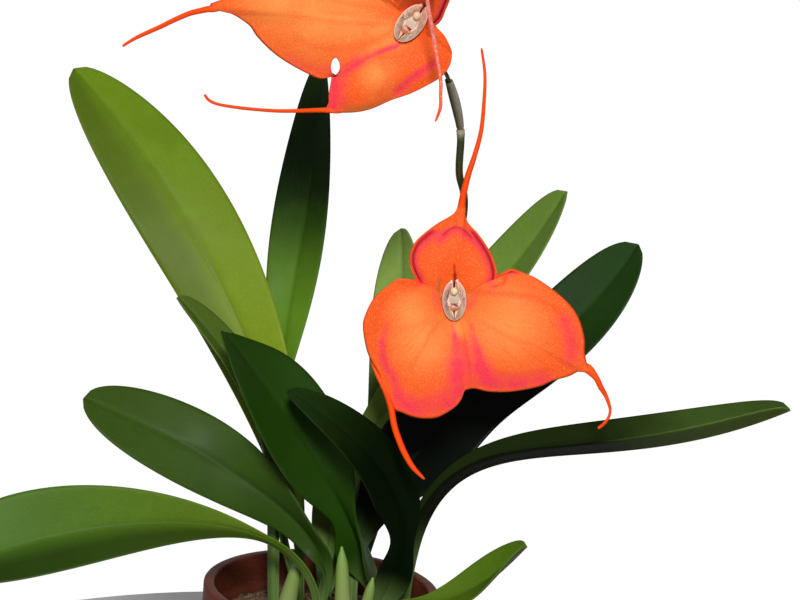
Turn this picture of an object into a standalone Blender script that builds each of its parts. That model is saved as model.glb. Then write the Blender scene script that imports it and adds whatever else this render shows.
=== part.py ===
"""Masdevallia orchid in its pot, in metres, +Z up, pot base centre at the origin."""
import bmesh
import bpy
import numpy as np
from mathutils import Matrix, Vector

MM = 0.001

# Pot: a plain round plastic orchid pot, 8 cm across the rim.
POT_RIM_R = 40.0
POT_BASE_R = 28.0
POT_HEIGHT = 70.0
POT_WALL = 1.8
POT_FLOOR = 2.5
RIM_DEPTH = 8.0
RIM_STEP = 1.8
DRAIN_R = 4.0
DRAIN_RING = 17.0
DRAINS = 4

# Medium: a bed of bark with chips standing out of its top.
SOIL_TOP = 60.0
FIT_GAP = 0.4
CHIP_COUNT = 18
HOLE_FLOOR = 48.0
SHANK_FLOOR = 48.4

# Leaves, in mm and degrees. Each midrib is one curve from the base at the soil top to the tip:
# rise is its pull up out of the base, run its pull into the tip. width is the full width,
# fold the lift of each half, channel that lift at the base, stalk the share that is petiole,
# low the half width that the blade still has low down, at the share low_at and over the share
# low_run, and face0 and face1 the direction (azimuth, elevation) the upper side looks at the
# base and at the tip.
LEAVES = {
    "leaf_back_left": dict(
        base=(-7, 8), rise=(0, -3, 63), tip=(-102, 48, 233), run=(-47, 8, 41),
        width=33, fold=-1, stalk=0.05, face0=(-100, -11), face1=(-100, 62)),
    "leaf_upright": dict(
        base=(-8, 14), rise=(-27, 8, 60), tip=(-16, 45, 244), run=(-3, 17, 87),
        width=26, fold=13, stalk=0.30, face0=(-51, 0), face1=(-150, -12)),
    "leaf_inner_left": dict(
        base=(-16, -4), rise=(-4, -2, 56), tip=(-56, 6, 164), run=(-37, 2, 34),
        width=23, fold=12, stalk=0.25, face0=(-29, 9), face1=(-9, 25)),
    "leaf_dark_left": dict(
        base=(18.9, 5), rise=(4.5, 10.2, 12.4), tip=(-38, -15, 158), run=(-32, 24, 29),
        width=32, fold=13, stalk=0.25, face0=(-146, -11), face1=(-19, 15), low=10),
    "leaf_dark_front": dict(
        base=(15, -11), rise=(25, -1, 41), tip=(-15, -29, 144), run=(-32, 7, 17),
        width=25, fold=7, stalk=0.25, face0=(-92, -8), face1=(-80, 87), low=6,
        channel=25),
    "leaf_low_left": dict(
        base=(-5, -11), rise=(25, -11, 37), tip=(-82, -15, 132), run=(-44, -7, 18),
        width=26, fold=4, stalk=0.10, face0=(-1, -71), face1=(-79, 47)),
    "leaf_far_left": dict(
        base=(0, -17), rise=(3, -13, 65), tip=(-120, -66, 80), run=(-12, -33, -9),
        width=33, fold=25, stalk=0.25, face0=(-87, 15), face1=(-115, 39)),
    "leaf_long_right": dict(
        base=(28.5, -2), rise=(-2.5, -1, 88), tip=(145, -24, 151), run=(66, -23, 44),
        width=24, fold=39, stalk=0.15, face0=(194, 41), face1=(-91, 85)),
    "leaf_dark_right": dict(
        base=(11, 6), rise=(-8, 5, 62), tip=(97, 27, 192), run=(27, 1, 58),
        width=28, fold=18, stalk=0.25, face0=(-99, 6), face1=(-127, 20), low=15,
        low_at=0.38, low_run=0.18, channel=25),
    "leaf_back_right": dict(
        base=(1, 10), rise=(-8, 5, 68), tip=(72, 42, 206), run=(29, -9, 65),
        width=25, fold=16, stalk=0.20, face0=(-108, 10), face1=(-148, 24), low=8,
        channel=25),
    "leaf_back_middle": dict(
        base=(1, 24), rise=(14, 8, 45), tip=(16, 68, 184), run=(-7, 24, 42),
        width=21, fold=16, stalk=0.25, face0=(-80, 9), face1=(-119, -26), low=9,
        channel=20),
    "leaf_young_right": dict(
        base=(19, -15), rise=(7, -7, 27), tip=(64, -43, 104), run=(28, -20, 45),
        width=16, fold=21, stalk=0.25, face0=(-104, 7), face1=(-117, 76)),
}

LOW_AT = 0.22
LOW_RUN = 0.13

# Short sheaths and new shoots at the crown: base, top and width in mm.
SHOOTS = {
    "sheath_left": ((-12, -13), (-8, -16, 84), 6.0),
    "shoot_pale": ((9, -21), (6, -23, 92), 5.5),
    "shoot_front": ((14, -19), (17, -22, 82), 4.5),
}

# Flower stalks, in mm: points the stalk passes through from the soil up, its end behind the
# flower in that flower's own directions, and the point where the thinner flower stalk starts.
SCAPE_R = 1.2
PEDICEL_R = 0.6
BRACT_GAP = 0.3
BRACT_WALL = 0.6
SCAPES = {
    "front": ((20, 13, 60), (28, 19, 92), (34, 23, 120), (35, 22, 145), (35, 7, 164)),
    "upper": ((10, 17, 60), (18, 22, 92), (25, 21, 122), (31, 19, 152), (36, -4, 200),
              (33, -19, 217), (32, -28, 231), (28, -36, 244), (24, -40, 251)),
}
JOINT = {"front": 4, "upper": 6}


def rgb_material(name, color, rough=0.5):
    """Plain coat of one colour for one piece."""
    mat = bpy.data.materials.new(name)
    mat.use_nodes = True
    bsdf = mat.node_tree.nodes["Principled BSDF"]
    bsdf.inputs["Base Color"].default_value = (*color, 1.0)
    bsdf.inputs["Roughness"].default_value = rough
    return mat


def add_object(name, points, faces, mat=None):
    """One object from points in mm and lists of point numbers."""
    mesh = bpy.data.meshes.new(name)
    mesh.from_pydata([tuple(MM * np.asarray(p, float)) for p in points], [], faces)
    mesh.validate()
    obj = bpy.data.objects.new(name, mesh)
    bpy.context.scene.collection.objects.link(obj)
    bm = bmesh.new()
    bm.from_mesh(mesh)
    bmesh.ops.recalc_face_normals(bm, faces=bm.faces)
    bm.to_mesh(mesh)
    bm.free()
    if mat:
        mesh.materials.append(mat)
    return obj


def loft(name, rings, mat=None, strip=False):
    """A closed body from rings with the same count, ends closed by fans or, if thin, by strips."""
    n = len(rings[0])
    points = [p for ring in rings for p in ring]
    faces = []
    for i in range(len(rings) - 1):
        for j in range(n):
            a = i * n + j
            b = i * n + (j + 1) % n
            faces.append((a, b, b + n))
            faces.append((a, b + n, a + n))
    for start in (0, (len(rings) - 1) * n):
        if strip:
            for j in range(n // 2 - 1):
                a, b = start + j, start + n - 1 - j
                faces.append((a, a + 1, b - 1))
                faces.append((a, b - 1, b))
            continue
        centre = len(points)
        points.append(np.mean(points[start:start + n], axis=0))
        for j in range(n):
            faces.append((start + j, start + (j + 1) % n, centre))
    return add_object(name, points, faces, mat)


def cut(target, cutters, operation="DIFFERENCE"):
    """Apply boolean cuts to target in order and remove the tools."""
    for tool in cutters:
        tool.hide_render = True
        tool.display_type = "WIRE"
        mod = target.modifiers.new("cut", "BOOLEAN")
        mod.operation = operation
        mod.solver = "EXACT"
        mod.object = tool
        deps = bpy.context.evaluated_depsgraph_get()
        mesh = bpy.data.meshes.new_from_object(target.evaluated_get(deps))
        target.modifiers.clear()
        target.data = mesh
        bpy.data.objects.remove(tool)
    bm = bmesh.new()
    bm.from_mesh(target.data)
    bmesh.ops.triangulate(bm, faces=[f for f in bm.faces if len(f.verts) > 3])
    bmesh.ops.remove_doubles(bm, verts=bm.verts, dist=0.000005)
    bm.to_mesh(target.data)
    bm.free()


def rod(name, start, end, radius, sides=12):
    """A straight round cutter between two points in mm."""
    start, end = np.asarray(start, float), np.asarray(end, float)
    d = (end - start) / np.linalg.norm(end - start)
    side = np.cross(d, (0, 0, 1.0) if abs(d[2]) < 0.9 else (1.0, 0, 0))
    side /= np.linalg.norm(side)
    other = np.cross(d, side)
    ang = np.linspace(0, 2 * np.pi, sides, endpoint=False)
    ring = radius * (np.outer(np.cos(ang), side) + np.outer(np.sin(ang), other))
    return loft(name, [start + ring, end + ring])


def heading(azimuth, elevation):
    """Unit direction from two angles in degrees."""
    a, e = np.radians(azimuth), np.radians(elevation)
    return np.array([np.cos(a) * np.cos(e), np.sin(a) * np.cos(e), np.sin(e)])


def even_curve(p0, p1, p2, p3, n):
    """n points evenly spaced along a cubic curve."""
    t = np.linspace(0, 1, 200)[:, None]
    c = (1 - t) ** 3 * p0 + 3 * (1 - t) ** 2 * t * p1 + 3 * (1 - t) * t ** 2 * p2 + t ** 3 * p3
    run = np.r_[0, np.cumsum(np.linalg.norm(np.diff(c, axis=0), axis=1))]
    want = np.linspace(0, run[-1], n)
    return np.stack([np.interp(want, run, c[:, i]) for i in range(3)], -1)


def leaf_frame(leaf, n):
    """Midrib points, side and upper directions, half width and fold along a leaf."""
    base = np.array([*leaf["base"], SOIL_TOP], float)
    tip = np.array(leaf["tip"], float)
    mid = even_curve(base, base + leaf["rise"], tip - np.array(leaf["run"], float), tip, n)
    along = np.gradient(mid, axis=0)
    along /= np.linalg.norm(along, axis=1)[:, None]
    s = np.linspace(0, 1, n)[:, None]
    up = (1 - s) * heading(*leaf["face0"]) + s * heading(*leaf["face1"])
    up -= (up * along).sum(1)[:, None] * along
    up /= np.linalg.norm(up, axis=1)[:, None]
    side = np.cross(up, along)
    u = np.clip((s - leaf["stalk"]) / (1 - leaf["stalk"]), 0, 1)
    peak = 1.15 / 1.65
    blade = u ** 1.15 * (1 - u) ** 0.5 / (peak ** 1.15 * (1 - peak) ** 0.5)
    at, run = leaf.get("low_at", LOW_AT), leaf.get("low_run", LOW_RUN)
    belly = leaf.get("low", 0) * np.exp(-((s - at) / run) ** 2)
    half = np.sqrt((leaf["width"] / 2 * blade) ** 2 + (2.0 * (1 - u)) ** 2 + belly ** 2)
    fold = np.radians(leaf["fold"] + (leaf.get("channel", 50) - leaf["fold"]) * (1 - u) ** 3)
    thick = 0.9 + 1.3 * (1 - u) ** 2
    return mid, side, up, half, fold, thick


def leaf_solid(name, leaf, mat):
    """A strap leaf: petiole standing in the bark, blade folded along its midrib."""
    n = 17
    mid, side, up, half, fold, thick = leaf_frame(leaf, n)
    half[-1] = 0.5
    steps = (-1.0, -0.55, 0.0, 0.55, 1.0)
    rings = []
    root = mid[0].copy()
    pull = np.array((0, 0, -1.0))
    drop = SOIL_TOP - SHANK_FLOOR
    for i in range(-1, n):
        k = max(i, 0)
        spot = mid[k] if i >= 0 else root + pull * drop
        across, above = side[k], up[k]
        if i < 0:
            across = np.array((side[0][0], side[0][1], 0.0))
            across /= np.linalg.norm(across)
            above = np.cross((0, 0, 1.0), across)
        ring = []
        for t in steps:
            ring.append((t, 0.5))
        for t in steps[::-1]:
            ring.append((t, -0.5))
        pts = []
        for t, level in ring:
            lift = abs(t) * half[k] * np.sin(fold[k])
            flat = t * half[k] * np.cos(fold[k])
            rib = thick[k] * (1.0 - 0.25 * abs(t)) + (0.6 if t == 0 and level < 0 else 0.0)
            pts.append(spot + across * flat + above * (lift + level * rib))
        rings.append(pts)
    return loft(name, rings, mat, strip=True), root, pull


def tube(name, points, radii, mat=None, sides=10):
    """A round stalk through points in mm, with a radius at each point."""
    pts = np.asarray(points, float)
    along = np.gradient(pts, axis=0)
    along /= np.linalg.norm(along, axis=1)[:, None]
    ang = np.linspace(0, 2 * np.pi, sides, endpoint=False)
    ref = np.array([0.31, 0.94, 0.11])
    rings = []
    for i, (p, d, r) in enumerate(zip(pts, along, radii)):
        a = ref - (ref @ d) * d
        a /= np.linalg.norm(a)
        b = np.cross(d, a)
        ref = a
        rings.append(p + r * (np.outer(np.cos(ang), a) + np.outer(np.sin(ang), b)))
    return loft(name, rings, mat)


def sleeve(name, line, inner, wall, mat):
    """A short tube with a bore round a stalk."""
    pts = through(line, 2)[1:]
    first = tube(name, pts, np.full(len(pts), inner + wall), sides=10)
    core = np.vstack([2 * pts[0] - pts[1], pts, 2 * pts[-1] - pts[-2]])
    bore = tube(name + "_bore", core, np.full(len(core), inner), sides=10)
    cut(first, [bore])
    first.data.materials.clear()
    first.data.materials.append(mat)
    return first


def through(points, per):
    """A smooth curve through points, with per steps between two of them."""
    p = np.asarray(points, float)
    p = np.vstack([2 * p[0] - p[1], p, 2 * p[-1] - p[-2]])
    out = []
    for i in range(1, len(p) - 2):
        for k in range(per):
            t = k / per
            out.append(0.5 * (2 * p[i] + (p[i + 1] - p[i - 1]) * t
                              + (2 * p[i - 1] - 5 * p[i] + 4 * p[i + 1] - p[i + 2]) * t ** 2
                              + (3 * p[i] - p[i - 1] - 3 * p[i + 1] + p[i + 2]) * t ** 3))
    out.append(p[-2])
    return np.array(out)


# Flowers, in mm. place is where the mouth of the tube stands; the face looks towards azimuth
# and elevation and is rolled about that direction, and turn rolls the oval mouth and what
# stands in it once more. Each sepal's margin goes anticlockwise as seen from the front, from
# one join to the next, in the flower's own right and up directions. A tail's points also
# give how far it stands forward, and its radii go with them.
FLOWERS = {
    "front": dict(
        place=(35, -26, 177), azimuth=-90, elevation=11, roll=5, turn=0,
        dorsal=((13, 5), (13.5, 9.5), (12, 14.5), (10, 18), (7, 22), (4.5, 25), (3.5, 28),
                (3.5, 30), (1.2, 30), (-0.5, 27.5), (-5.5, 24.5), (-9.5, 21.5), (-12.5, 18.5),
                (-14, 14.5), (-13.5, 10.5), (-11, 5)),
        left=((-11, 5), (-13, 6.5), (-17.5, 7), (-21, 5), (-25.5, 1), (-28.5, -5), (-29, -9),
              (-28, -15), (-26.5, -19), (-24, -23.5), (-22, -29), (-19, -34.5), (-17, -35.5),
              (-13, -37), (-9, -37.5), (-5, -37), (-0.5, -34.5), (2, -32), (3.5, -28.5)),
        right=((3.5, -28.5), (6.5, -28), (11, -29), (18, -29), (26.5, -27.5), (31.5, -25.5),
               (36.5, -24), (39.5, -22.5), (41.5, -23), (43.5, -23), (42, -19.5), (41.5, -16),
               (41.5, -12.5), (40, -6.5), (37, -1.5), (31.5, 3.5), (24.5, 8), (18, 9.5),
               (13, 5)),
        tails=(
            ((1.5, 24, -1.9), (2.2, 28, -1.9), (2.5, 31, -1.5), (3.2, 35, -0.5), (4.5, 40, 0),
             (6.5, 46, 0), (8.5, 53.5, -1), (9.5, 62, -4), (10, 72, -7), (9, 81, -9)),
            ((-26.5, -18, -1.9), (-24, -24, -1.8), (-21.5, -29.5, -1.5), (-20, -34, -1),
             (-19, -39.5, 0), (-17.5, -44, 1.5), (-15.5, -48.5, 3), (-13, -52.5, 4.5),
             (-9.5, -56, 6)),
            ((39.5, -19.5, -1.9), (42.5, -21.7, -1.9), (45, -24.5, -1.7), (46.5, -27.5, -1.5),
             (48, -30, -2), (49, -32.5, -2), (49.5, -34.8, -2), (49, -37, -2),
             (47.5, -39, -1.5), (45.5, -40.5, -0.5))),
        girths=((0.5, 1.3, 1.15, 1.05, 0.95, 0.8, 0.7, 0.6, 0.5, 0.4),
                (0.4, 0.6, 0.85, 1.0, 1.0, 1.0, 0.95, 0.8, 0.4),
                (0.5, 1.3, 0.95, 0.9, 0.7, 0.55, 0.45, 0.45, 0.5, 0.5)),
        tilt=0.0, bend=0.0),
    "upper": dict(
        place=(14, -58, 264), azimuth=-90, elevation=11, roll=5, turn=-38,
        dorsal=((7, -1), (9, 0.5), (10, 2.5), (12, 9), (9.5, 14), (6, 16.5), (4.5, 17.5),
                (1, 16), (-4, 13), (-6.5, 9), (-6, 7)),
        left=((-6, 7), (-11.5, 13.5), (-20, 19), (-32, 19), (-43, 14), (-51.5, 10), (-56, 8),
              (-59.5, 6.8), (-58.5, 5.2), (-56, 4.6), (-53, 3.8), (-50, 2), (-47.5, 0),
              (-45.5, -3), (-41, -7.5), (-36, -11), (-29.5, -14.5), (-26.5, -15.5),
              (-23.5, -15)),
        right=((-23.5, -15), (-24, -17.5), (-24.5, -20.5), (-24.5, -22.5), (-25, -25),
               (-17.5, -25.5), (-11.5, -24.5), (-5.5, -22), (0.5, -20), (7.5, -16.5),
               (10.5, -14), (12, -11), (12, -8), (10, -4), (7, -1)),
        tails=(
            ((3.5, 13.5, 15.2), (4.3, 17, 17.6), (4.8, 18.7, 20), (4.8, 18, 22.8),
             (4.5, 14, 23.8), (4.3, 9, 22.3), (4.5, 4, 20),
             (5.5, -1.5, 17), (6.5, -6.5, 14), (7.5, -12, 12), (8.5, -18, 11), (8.5, -22, 10),
             (8.5, -25, 9.5), (8, -27, 9), (7, -29.5, 9)),
            ((-52, 7.2, -7), (-58, 5.7, -7.7), (-61, 5.2, -8), (-65.5, 4.2, -8.5),
             (-70, 2.5, -9.5), (-74.5, 0.5, -10.5), (-80.5, -2, -11.5), (-83, -3.2, -12),
             (-86, -5, -12.5)),
            ((-17.5, -24.3, -7.8), (-22, -24.5, -8.2), (-26.5, -24.5, -8.5), (-33, -24.6, -9.5),
             (-39, -24.6, -10), (-45, -24.2, -10.5), (-51, -23.5, -11.5), (-57, -22.5, -12),
             (-60, -21.3, -12), (-61.5, -19.5, -12))),
        girths=((0.6, 0.9, 0.8, 0.7, 0.65, 0.6, 0.6, 0.6, 0.6, 0.55, 0.55, 0.5, 0.5, 0.45, 0.3),
                (0.6, 1.0, 0.9, 0.8, 0.75, 0.7, 0.6, 0.5, 0.4),
                (0.5, 0.8, 0.7, 0.6, 0.55, 0.5, 0.5, 0.45, 0.45, 0.4)),
        tilt=1.2, bend=0.2, hole=(-22.2, -12.2)),
}
TUBE_DEPTH = 15.0
TUBE_OVAL = (3.7, 5.0)
MOUTH_OVAL = (3.95, 6.3)
CALYX_T = 0.8
HOLE_OVAL = (1.3, 2.7)


def flower_axes(flower):
    """Right, up and outward directions of a flower's face."""
    out = heading(flower["azimuth"], flower["elevation"])
    right = np.cross((0, 0, 1.0), out)
    right /= np.linalg.norm(right)
    up = np.cross(out, right)
    r = np.radians(flower["roll"])
    return np.cos(r) * right + np.sin(r) * up, np.cos(r) * up - np.sin(r) * right, out


def height_of(flower, x, y):
    """How far the face stands forward at a point, without the tube."""
    q = 0.6 * x + 0.8 * y
    lean = flower["tilt"] * np.maximum(q, 0) + flower["bend"] * np.minimum(q, 0)
    return lean


def oval(ang, turn, halves):
    """Radius, at each angle, of an oval with the given half width and half height."""
    t = ang - np.radians(turn)
    return 1 / np.hypot(np.cos(t) / halves[0], np.sin(t) / halves[1])


def calyx_surface(flower, per, rows):
    """Grid of points of the calyx's inner face: rows from the tube floor to the margin."""
    edge = [through(flower[key], per)[:-1] for key in ("right", "dorsal", "left")]
    rim = np.vstack(edge)
    reach = np.linalg.norm(rim, axis=1)
    unit = rim / reach[:, None]
    ang = np.arctan2(unit[:, 1], unit[:, 0])
    seam = [np.arctan2(flower[key][0][1], flower[key][0][0]) for key in
            ("right", "dorsal", "left")]
    valley = np.zeros(len(rim))
    for a in seam:
        gap = np.abs((ang - a + np.pi) % (2 * np.pi) - np.pi)
        valley += np.exp(-(gap / np.radians(13)) ** 2)
    grid = []
    tube_r = oval(ang, flower["turn"], TUBE_OVAL)
    mouth_r = oval(ang, flower["turn"], MOUTH_OVAL)
    for r, z in ((tube_r * 0.93, -TUBE_DEPTH), (tube_r, -TUBE_DEPTH * 0.5), (mouth_r * 0.97, -3.2)):
        grid.append(np.column_stack([unit * r[:, None], np.full(len(rim), z)]))
    for f in rows:
        r = mouth_r + (reach - mouth_r) * f
        x, y = unit[:, 0] * r, unit[:, 1] * r
        swell = np.sin(np.pi * f) * 2.2 * np.minimum(1, (reach - mouth_r) / 20)
        z = -1.0 * (1 - f) ** 3 + swell - valley * 1.1 * np.sin(np.pi * f ** 0.8) - 1.5 * f ** 3
        z = z + height_of(flower, x, y) * min(1, f * 4)
        grid.append(np.column_stack([x, y, z]))
    return np.array(grid)


def calyx_solid(name, flower, mat):
    """Three sepals joined in one cup, drawn out into three tails."""
    right, up, out = flower_axes(flower)
    place = np.array(flower["place"], float)
    grid = calyx_surface(flower, 1, (0.0, 0.15, 0.35, 0.57, 0.8, 1.0))
    rows, cols = grid.shape[:2]
    wide = np.gradient(grid, axis=1)
    wide[:, 0] = grid[:, 1] - grid[:, -1]
    wide[:, -1] = grid[:, 0] - grid[:, -2]
    long = np.gradient(grid, axis=0)
    normal = np.cross(long, wide)
    normal /= np.linalg.norm(normal, axis=2)[:, :, None] + 1e-9
    normal[-1] = normal[-2]
    back = grid - CALYX_T * normal * np.sign(normal[3:, :, 2].mean())
    front_c = (0, 0, -TUBE_DEPTH)
    back_c = (0, 0, -TUBE_DEPTH - CALYX_T)
    local = np.vstack([grid.reshape(-1, 3), back.reshape(-1, 3), [front_c, back_c]])
    half = rows * cols
    faces = []
    for i in range(rows - 1):
        for j in range(cols):
            a, b = i * cols + j, i * cols + (j + 1) % cols
            faces.append((a, b, b + cols))
            faces.append((a, b + cols, a + cols))
            faces.append((half + a, half + b + cols, half + b))
            faces.append((half + a, half + a + cols, half + b + cols))
    last = (rows - 1) * cols
    for j in range(cols):
        k = (j + 1) % cols
        faces.append((last + j, last + k, half + last + k))
        faces.append((last + j, half + last + k, half + last + j))
        faces.append((j, 2 * half, k))
        faces.append((half + j, half + k, 2 * half + 1))
    world = place + local @ np.array([right, up, out])
    body = add_object(name, world, faces, mat)
    for line, girth in zip(flower["tails"], flower["girths"]):
        tail = tube(name + "_tail", set_in(flower, line), girth, sides=6)
        cut(body, [tail], "UNION")
    if "hole" in flower:
        ang = np.linspace(0, 2 * np.pi, 12, endpoint=False)
        x, y = flower["hole"]
        rings = [[(x + HOLE_OVAL[0] * np.cos(a), y + HOLE_OVAL[1] * np.sin(a), z) for a in ang]
                 for z in (-16, 4)]
        cut(body, [loft(name + "_hole", [set_in(flower, ring) for ring in rings])])
    return body


def set_in(flower, points):
    """Points in a flower's own right, up, forward mm, moved to the plant."""
    return np.array(flower["place"], float) + np.asarray(points, float) @ np.array(
        flower_axes(flower))


# What stands in the mouth, in mm from its centre: right, up and forward.
COLUMN = ((0, 0.6, -14.6), (0, 1.0, -9), (0, 1.9, -4), (0, 2.6, -1.2), (0, 2.9, 0.2))
COLUMN_R = (0.9, 1.0, 1.2, 1.2, 0.6)
LIP = ((0, -2.3, -14.6), (0, -2.6, -9), (0, -2.6, -4), (0, -2.2, -1.4), (0, -2.0, -0.1))
LIP_W = (0.7, 0.9, 1.6, 2.0, 1.3)
LIP_T = (0.4, 0.45, 0.7, 1.0, 0.6)
# Each petal is a curved blade; its cross sections are arcs of ovals: forward place, half
# width, half height, and the arc in degrees.
PETAL = ((-14.6, 2.2, 2.0, 30), (-9, 2.5, 3.0, 38), (-4, 3.0, 4.9, 62), (-1, 3.4, 5.6, 80),
         (0.9, 3.3, 5.7, 84))
PETAL_T = 0.65
PETAL_GAP = 0.22


def turned(flower, points):
    """Points rolled by the flower's turn in its own face."""
    p = np.asarray(points, float)
    t = np.radians(flower["turn"])
    x = p[:, 0] * np.cos(t) - p[:, 1] * np.sin(t)
    y = p[:, 0] * np.sin(t) + p[:, 1] * np.cos(t)
    return np.column_stack([x, y, p[:, 2]])


def flower_pieces(key, flower, mats):
    """Calyx, column, two petals and lip of one flower."""
    calyx_solid("calyx_" + key, flower, mats["calyx"])
    tube("column_" + key, set_in(flower, turned(flower, COLUMN)), COLUMN_R, mats["column"])
    for side, sign in (("left", -1), ("right", 1)):
        rings = []
        for z, a, b, arc in PETAL:
            phi = np.radians(np.linspace(-arc, arc, 6))
            outer = [(PETAL_GAP + (a - PETAL_GAP) * np.cos(p), b * np.sin(p)) for p in phi]
            a, b = a - PETAL_T, b - PETAL_T
            inner = [(PETAL_GAP + (a - PETAL_GAP) * np.cos(p), b * np.sin(p)) for p in phi]
            ring = [(sign * x, y, z) for x, y in outer + inner[::-1]]
            rings.append(set_in(flower, turned(flower, ring)))
        loft("petal_%s_%s" % (side, key), rings, mats["petal"], strip=True)
    ang = np.linspace(0, 2 * np.pi, 10, endpoint=False)
    rings = []
    for (x, y, z), w, t in zip(LIP, LIP_W, LIP_T):
        ring = [(x + w * np.cos(a), y + t * np.sin(a), z) for a in ang]
        rings.append(set_in(flower, turned(flower, ring)))
    loft("lip_" + key, rings, mats["lip"])


def build_pot(mat):
    """Round pot with a stepped rim band and drain holes beside its centre."""
    r_in = POT_RIM_R - RIM_STEP - POT_WALL
    low = POT_HEIGHT - RIM_DEPTH
    slope_r = POT_RIM_R - RIM_STEP
    profile = (
        (POT_BASE_R - 1.0, 0), (POT_BASE_R, 1.0), (slope_r - 0.6, low), (POT_RIM_R - 0.8, low),
        (POT_RIM_R, low + 0.8), (POT_RIM_R, POT_HEIGHT - 0.8), (POT_RIM_R - 0.6, POT_HEIGHT),
        (r_in + 0.6, POT_HEIGHT), (r_in, POT_HEIGHT - 0.8), (r_in, low - 2.0),
        (r_in - 0.8, low - 4.0), (POT_BASE_R - POT_WALL, POT_FLOOR))
    ang = np.linspace(0, 2 * np.pi, 40, endpoint=False)
    pot = loft("pot", [[(r * np.cos(a), r * np.sin(a), z) for a in ang] for r, z in profile],
               mat)
    holes = []
    for i in range(DRAINS):
        a = 2 * np.pi * (i + 0.5) / DRAINS
        x, y = DRAIN_RING * np.cos(a), DRAIN_RING * np.sin(a)
        holes.append(rod("drain", (x, y, -1), (x, y, POT_FLOOR + 1), DRAIN_R, 14))
    cut(pot, holes)
    return pot


def build_medium(mat, shanks):
    """Bed of bark filling the pot, chips fused on top, a plain hole for each stalk."""
    rng = np.random.default_rng(7)
    low = POT_HEIGHT - RIM_DEPTH
    r_in = POT_RIM_R - RIM_STEP - POT_WALL - FIT_GAP
    bed_top = SOIL_TOP - 3.0
    r_low = POT_BASE_R - POT_WALL - FIT_GAP
    z_low = POT_FLOOR + FIT_GAP
    r_top = r_low + (r_in - 0.8 - r_low) * (bed_top - z_low) / (low - 4.0 - z_low)
    r_top = min(r_top, r_in - 0.3)
    ang = np.linspace(0, 2 * np.pi, 28, endpoint=False)
    rings = []
    for r, z in ((r_low - 0.4, z_low), (r_top - 0.9, bed_top - 1.5), (r_top - 2.0, bed_top)):
        rings.append([(r * np.cos(a), r * np.sin(a), z) for a in ang])
    bed = loft("medium", rings, mat)
    chips = []
    for i in range(CHIP_COUNT):
        for attempt in range(30):
            r = (r_top - 7.0) * np.sqrt(rng.uniform(0.03, 1))
            a = rng.uniform(0, 2 * np.pi)
            x, y = r * np.cos(a), r * np.sin(a)
            if all(np.hypot(x - s[0][0], y - s[0][1]) > 8.5 for s in shanks):
                break
        else:
            continue
        size = rng.uniform((3.0, 2.0, 1.0), (5.5, 3.5, 1.8))
        turn = Matrix.Rotation(rng.uniform(0, 6.28), 3, "Z") @ Matrix.Rotation(
            rng.uniform(-0.35, 0.35), 3, "X") @ Matrix.Rotation(rng.uniform(-0.3, 0.3), 3, "Y")
        pts = []
        for sz in (-1, 1):
            for px, py in ((-1, -0.6), (-0.3, -1), (0.8, -0.9), (1, 0.2), (0.4, 1), (-0.8, 0.7)):
                k = 1.0 if sz < 0 else 0.85
                v = turn @ Vector((px * size[0] * k, py * size[1] * k, sz * size[2]))
                pts.append((x + v.x, y + v.y, bed_top + 0.2 + v.z))
        chips.append(loft("chip", [pts[:6], pts[6:]]))
    cut(bed, chips, "UNION")
    wells = []
    for spot, pull, radius in shanks:
        depth = (SOIL_TOP - HOLE_FLOOR) / -pull[2]
        wells.append(rod("well", spot + pull * depth, spot - pull * 8, radius, 10))
    cut(bed, wells)
    return bed


def main():
    for old in list(bpy.data.objects):
        bpy.data.objects.remove(old)
    green = rgb_material("leaf_green", (0.10, 0.22, 0.03), 0.4)
    mats = dict(
        calyx=rgb_material("calyx_orange", (0.85, 0.16, 0.03), 0.5),
        column=rgb_material("column_cream", (0.85, 0.78, 0.62), 0.4),
        petal=rgb_material("petal_pink", (0.90, 0.72, 0.66), 0.4),
        lip=rgb_material("lip_peach", (0.80, 0.35, 0.20), 0.4))
    shanks = []
    for name, leaf in LEAVES.items():
        obj, root, pull = leaf_solid(name, leaf, green)
        shanks.append((root, pull, 3.4))
    for name, (spot, top, width) in SHOOTS.items():
        base = np.array([*spot, SOIL_TOP], float)
        top = np.array(top, float)
        low = np.array([*spot, SHANK_FLOOR], float)
        pts = [low, base, base + (top - base) * 0.4, base + (top - base) * 0.8, top]
        r = width / 2
        tube(name, pts, (r * 0.8, r * 0.9, r, r * 0.7, 0.4), rgb_material(name, (0.3, 0.4, 0.1)), 8)
        shanks.append((base, np.array((0, 0, -1.0)), r * 0.9 + 0.5))
    for key, line in SCAPES.items():
        end = set_in(FLOWERS[key], [(0, -3.0, -21.0), (0, 0, -TUBE_DEPTH - CALYX_T - 0.4)])
        pts = through(np.vstack([line, end]), 2)
        low = (pts[0][0], pts[0][1], SHANK_FLOOR)
        pts = np.vstack([low, pts])
        radii = np.where(np.arange(len(pts)) > 2 * JOINT[key] + 1, PEDICEL_R, SCAPE_R)
        tube("scape_" + key, pts, radii, rgb_material("scape_" + key, (0.08, 0.16, 0.04)), 8)
        shanks.append((pts[1], np.array((0, 0, -1.0)), SCAPE_R + 0.5))
        if key == "upper":
            start = 2 * JOINT[key] + 2
            sleeve("bract_upper", pts[start:start + 3], PEDICEL_R + BRACT_GAP, BRACT_WALL,
                   rgb_material("bract", (0.35, 0.25, 0.15)))
    for key, flower in FLOWERS.items():
        flower_pieces(key, flower, mats)
    build_pot(rgb_material("pot_brown", (0.16, 0.06, 0.04), 0.45))
    build_medium(rgb_material("bark", (0.20, 0.12, 0.06), 0.9), shanks)


main()
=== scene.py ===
# %% [markdown]
# # A masdevallia orchid in its pot
# This lesson dresses a measured model of a potted orchid. The model gives the place and size of
# every leaf, stalk, flower, and of the pot. Here each piece is made again with fine, smooth
# surfaces and a finish worked out from nodes. All lengths in the tables are in millimetres.

import bpy
import numpy as np
from mathutils import Matrix, Vector


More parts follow.
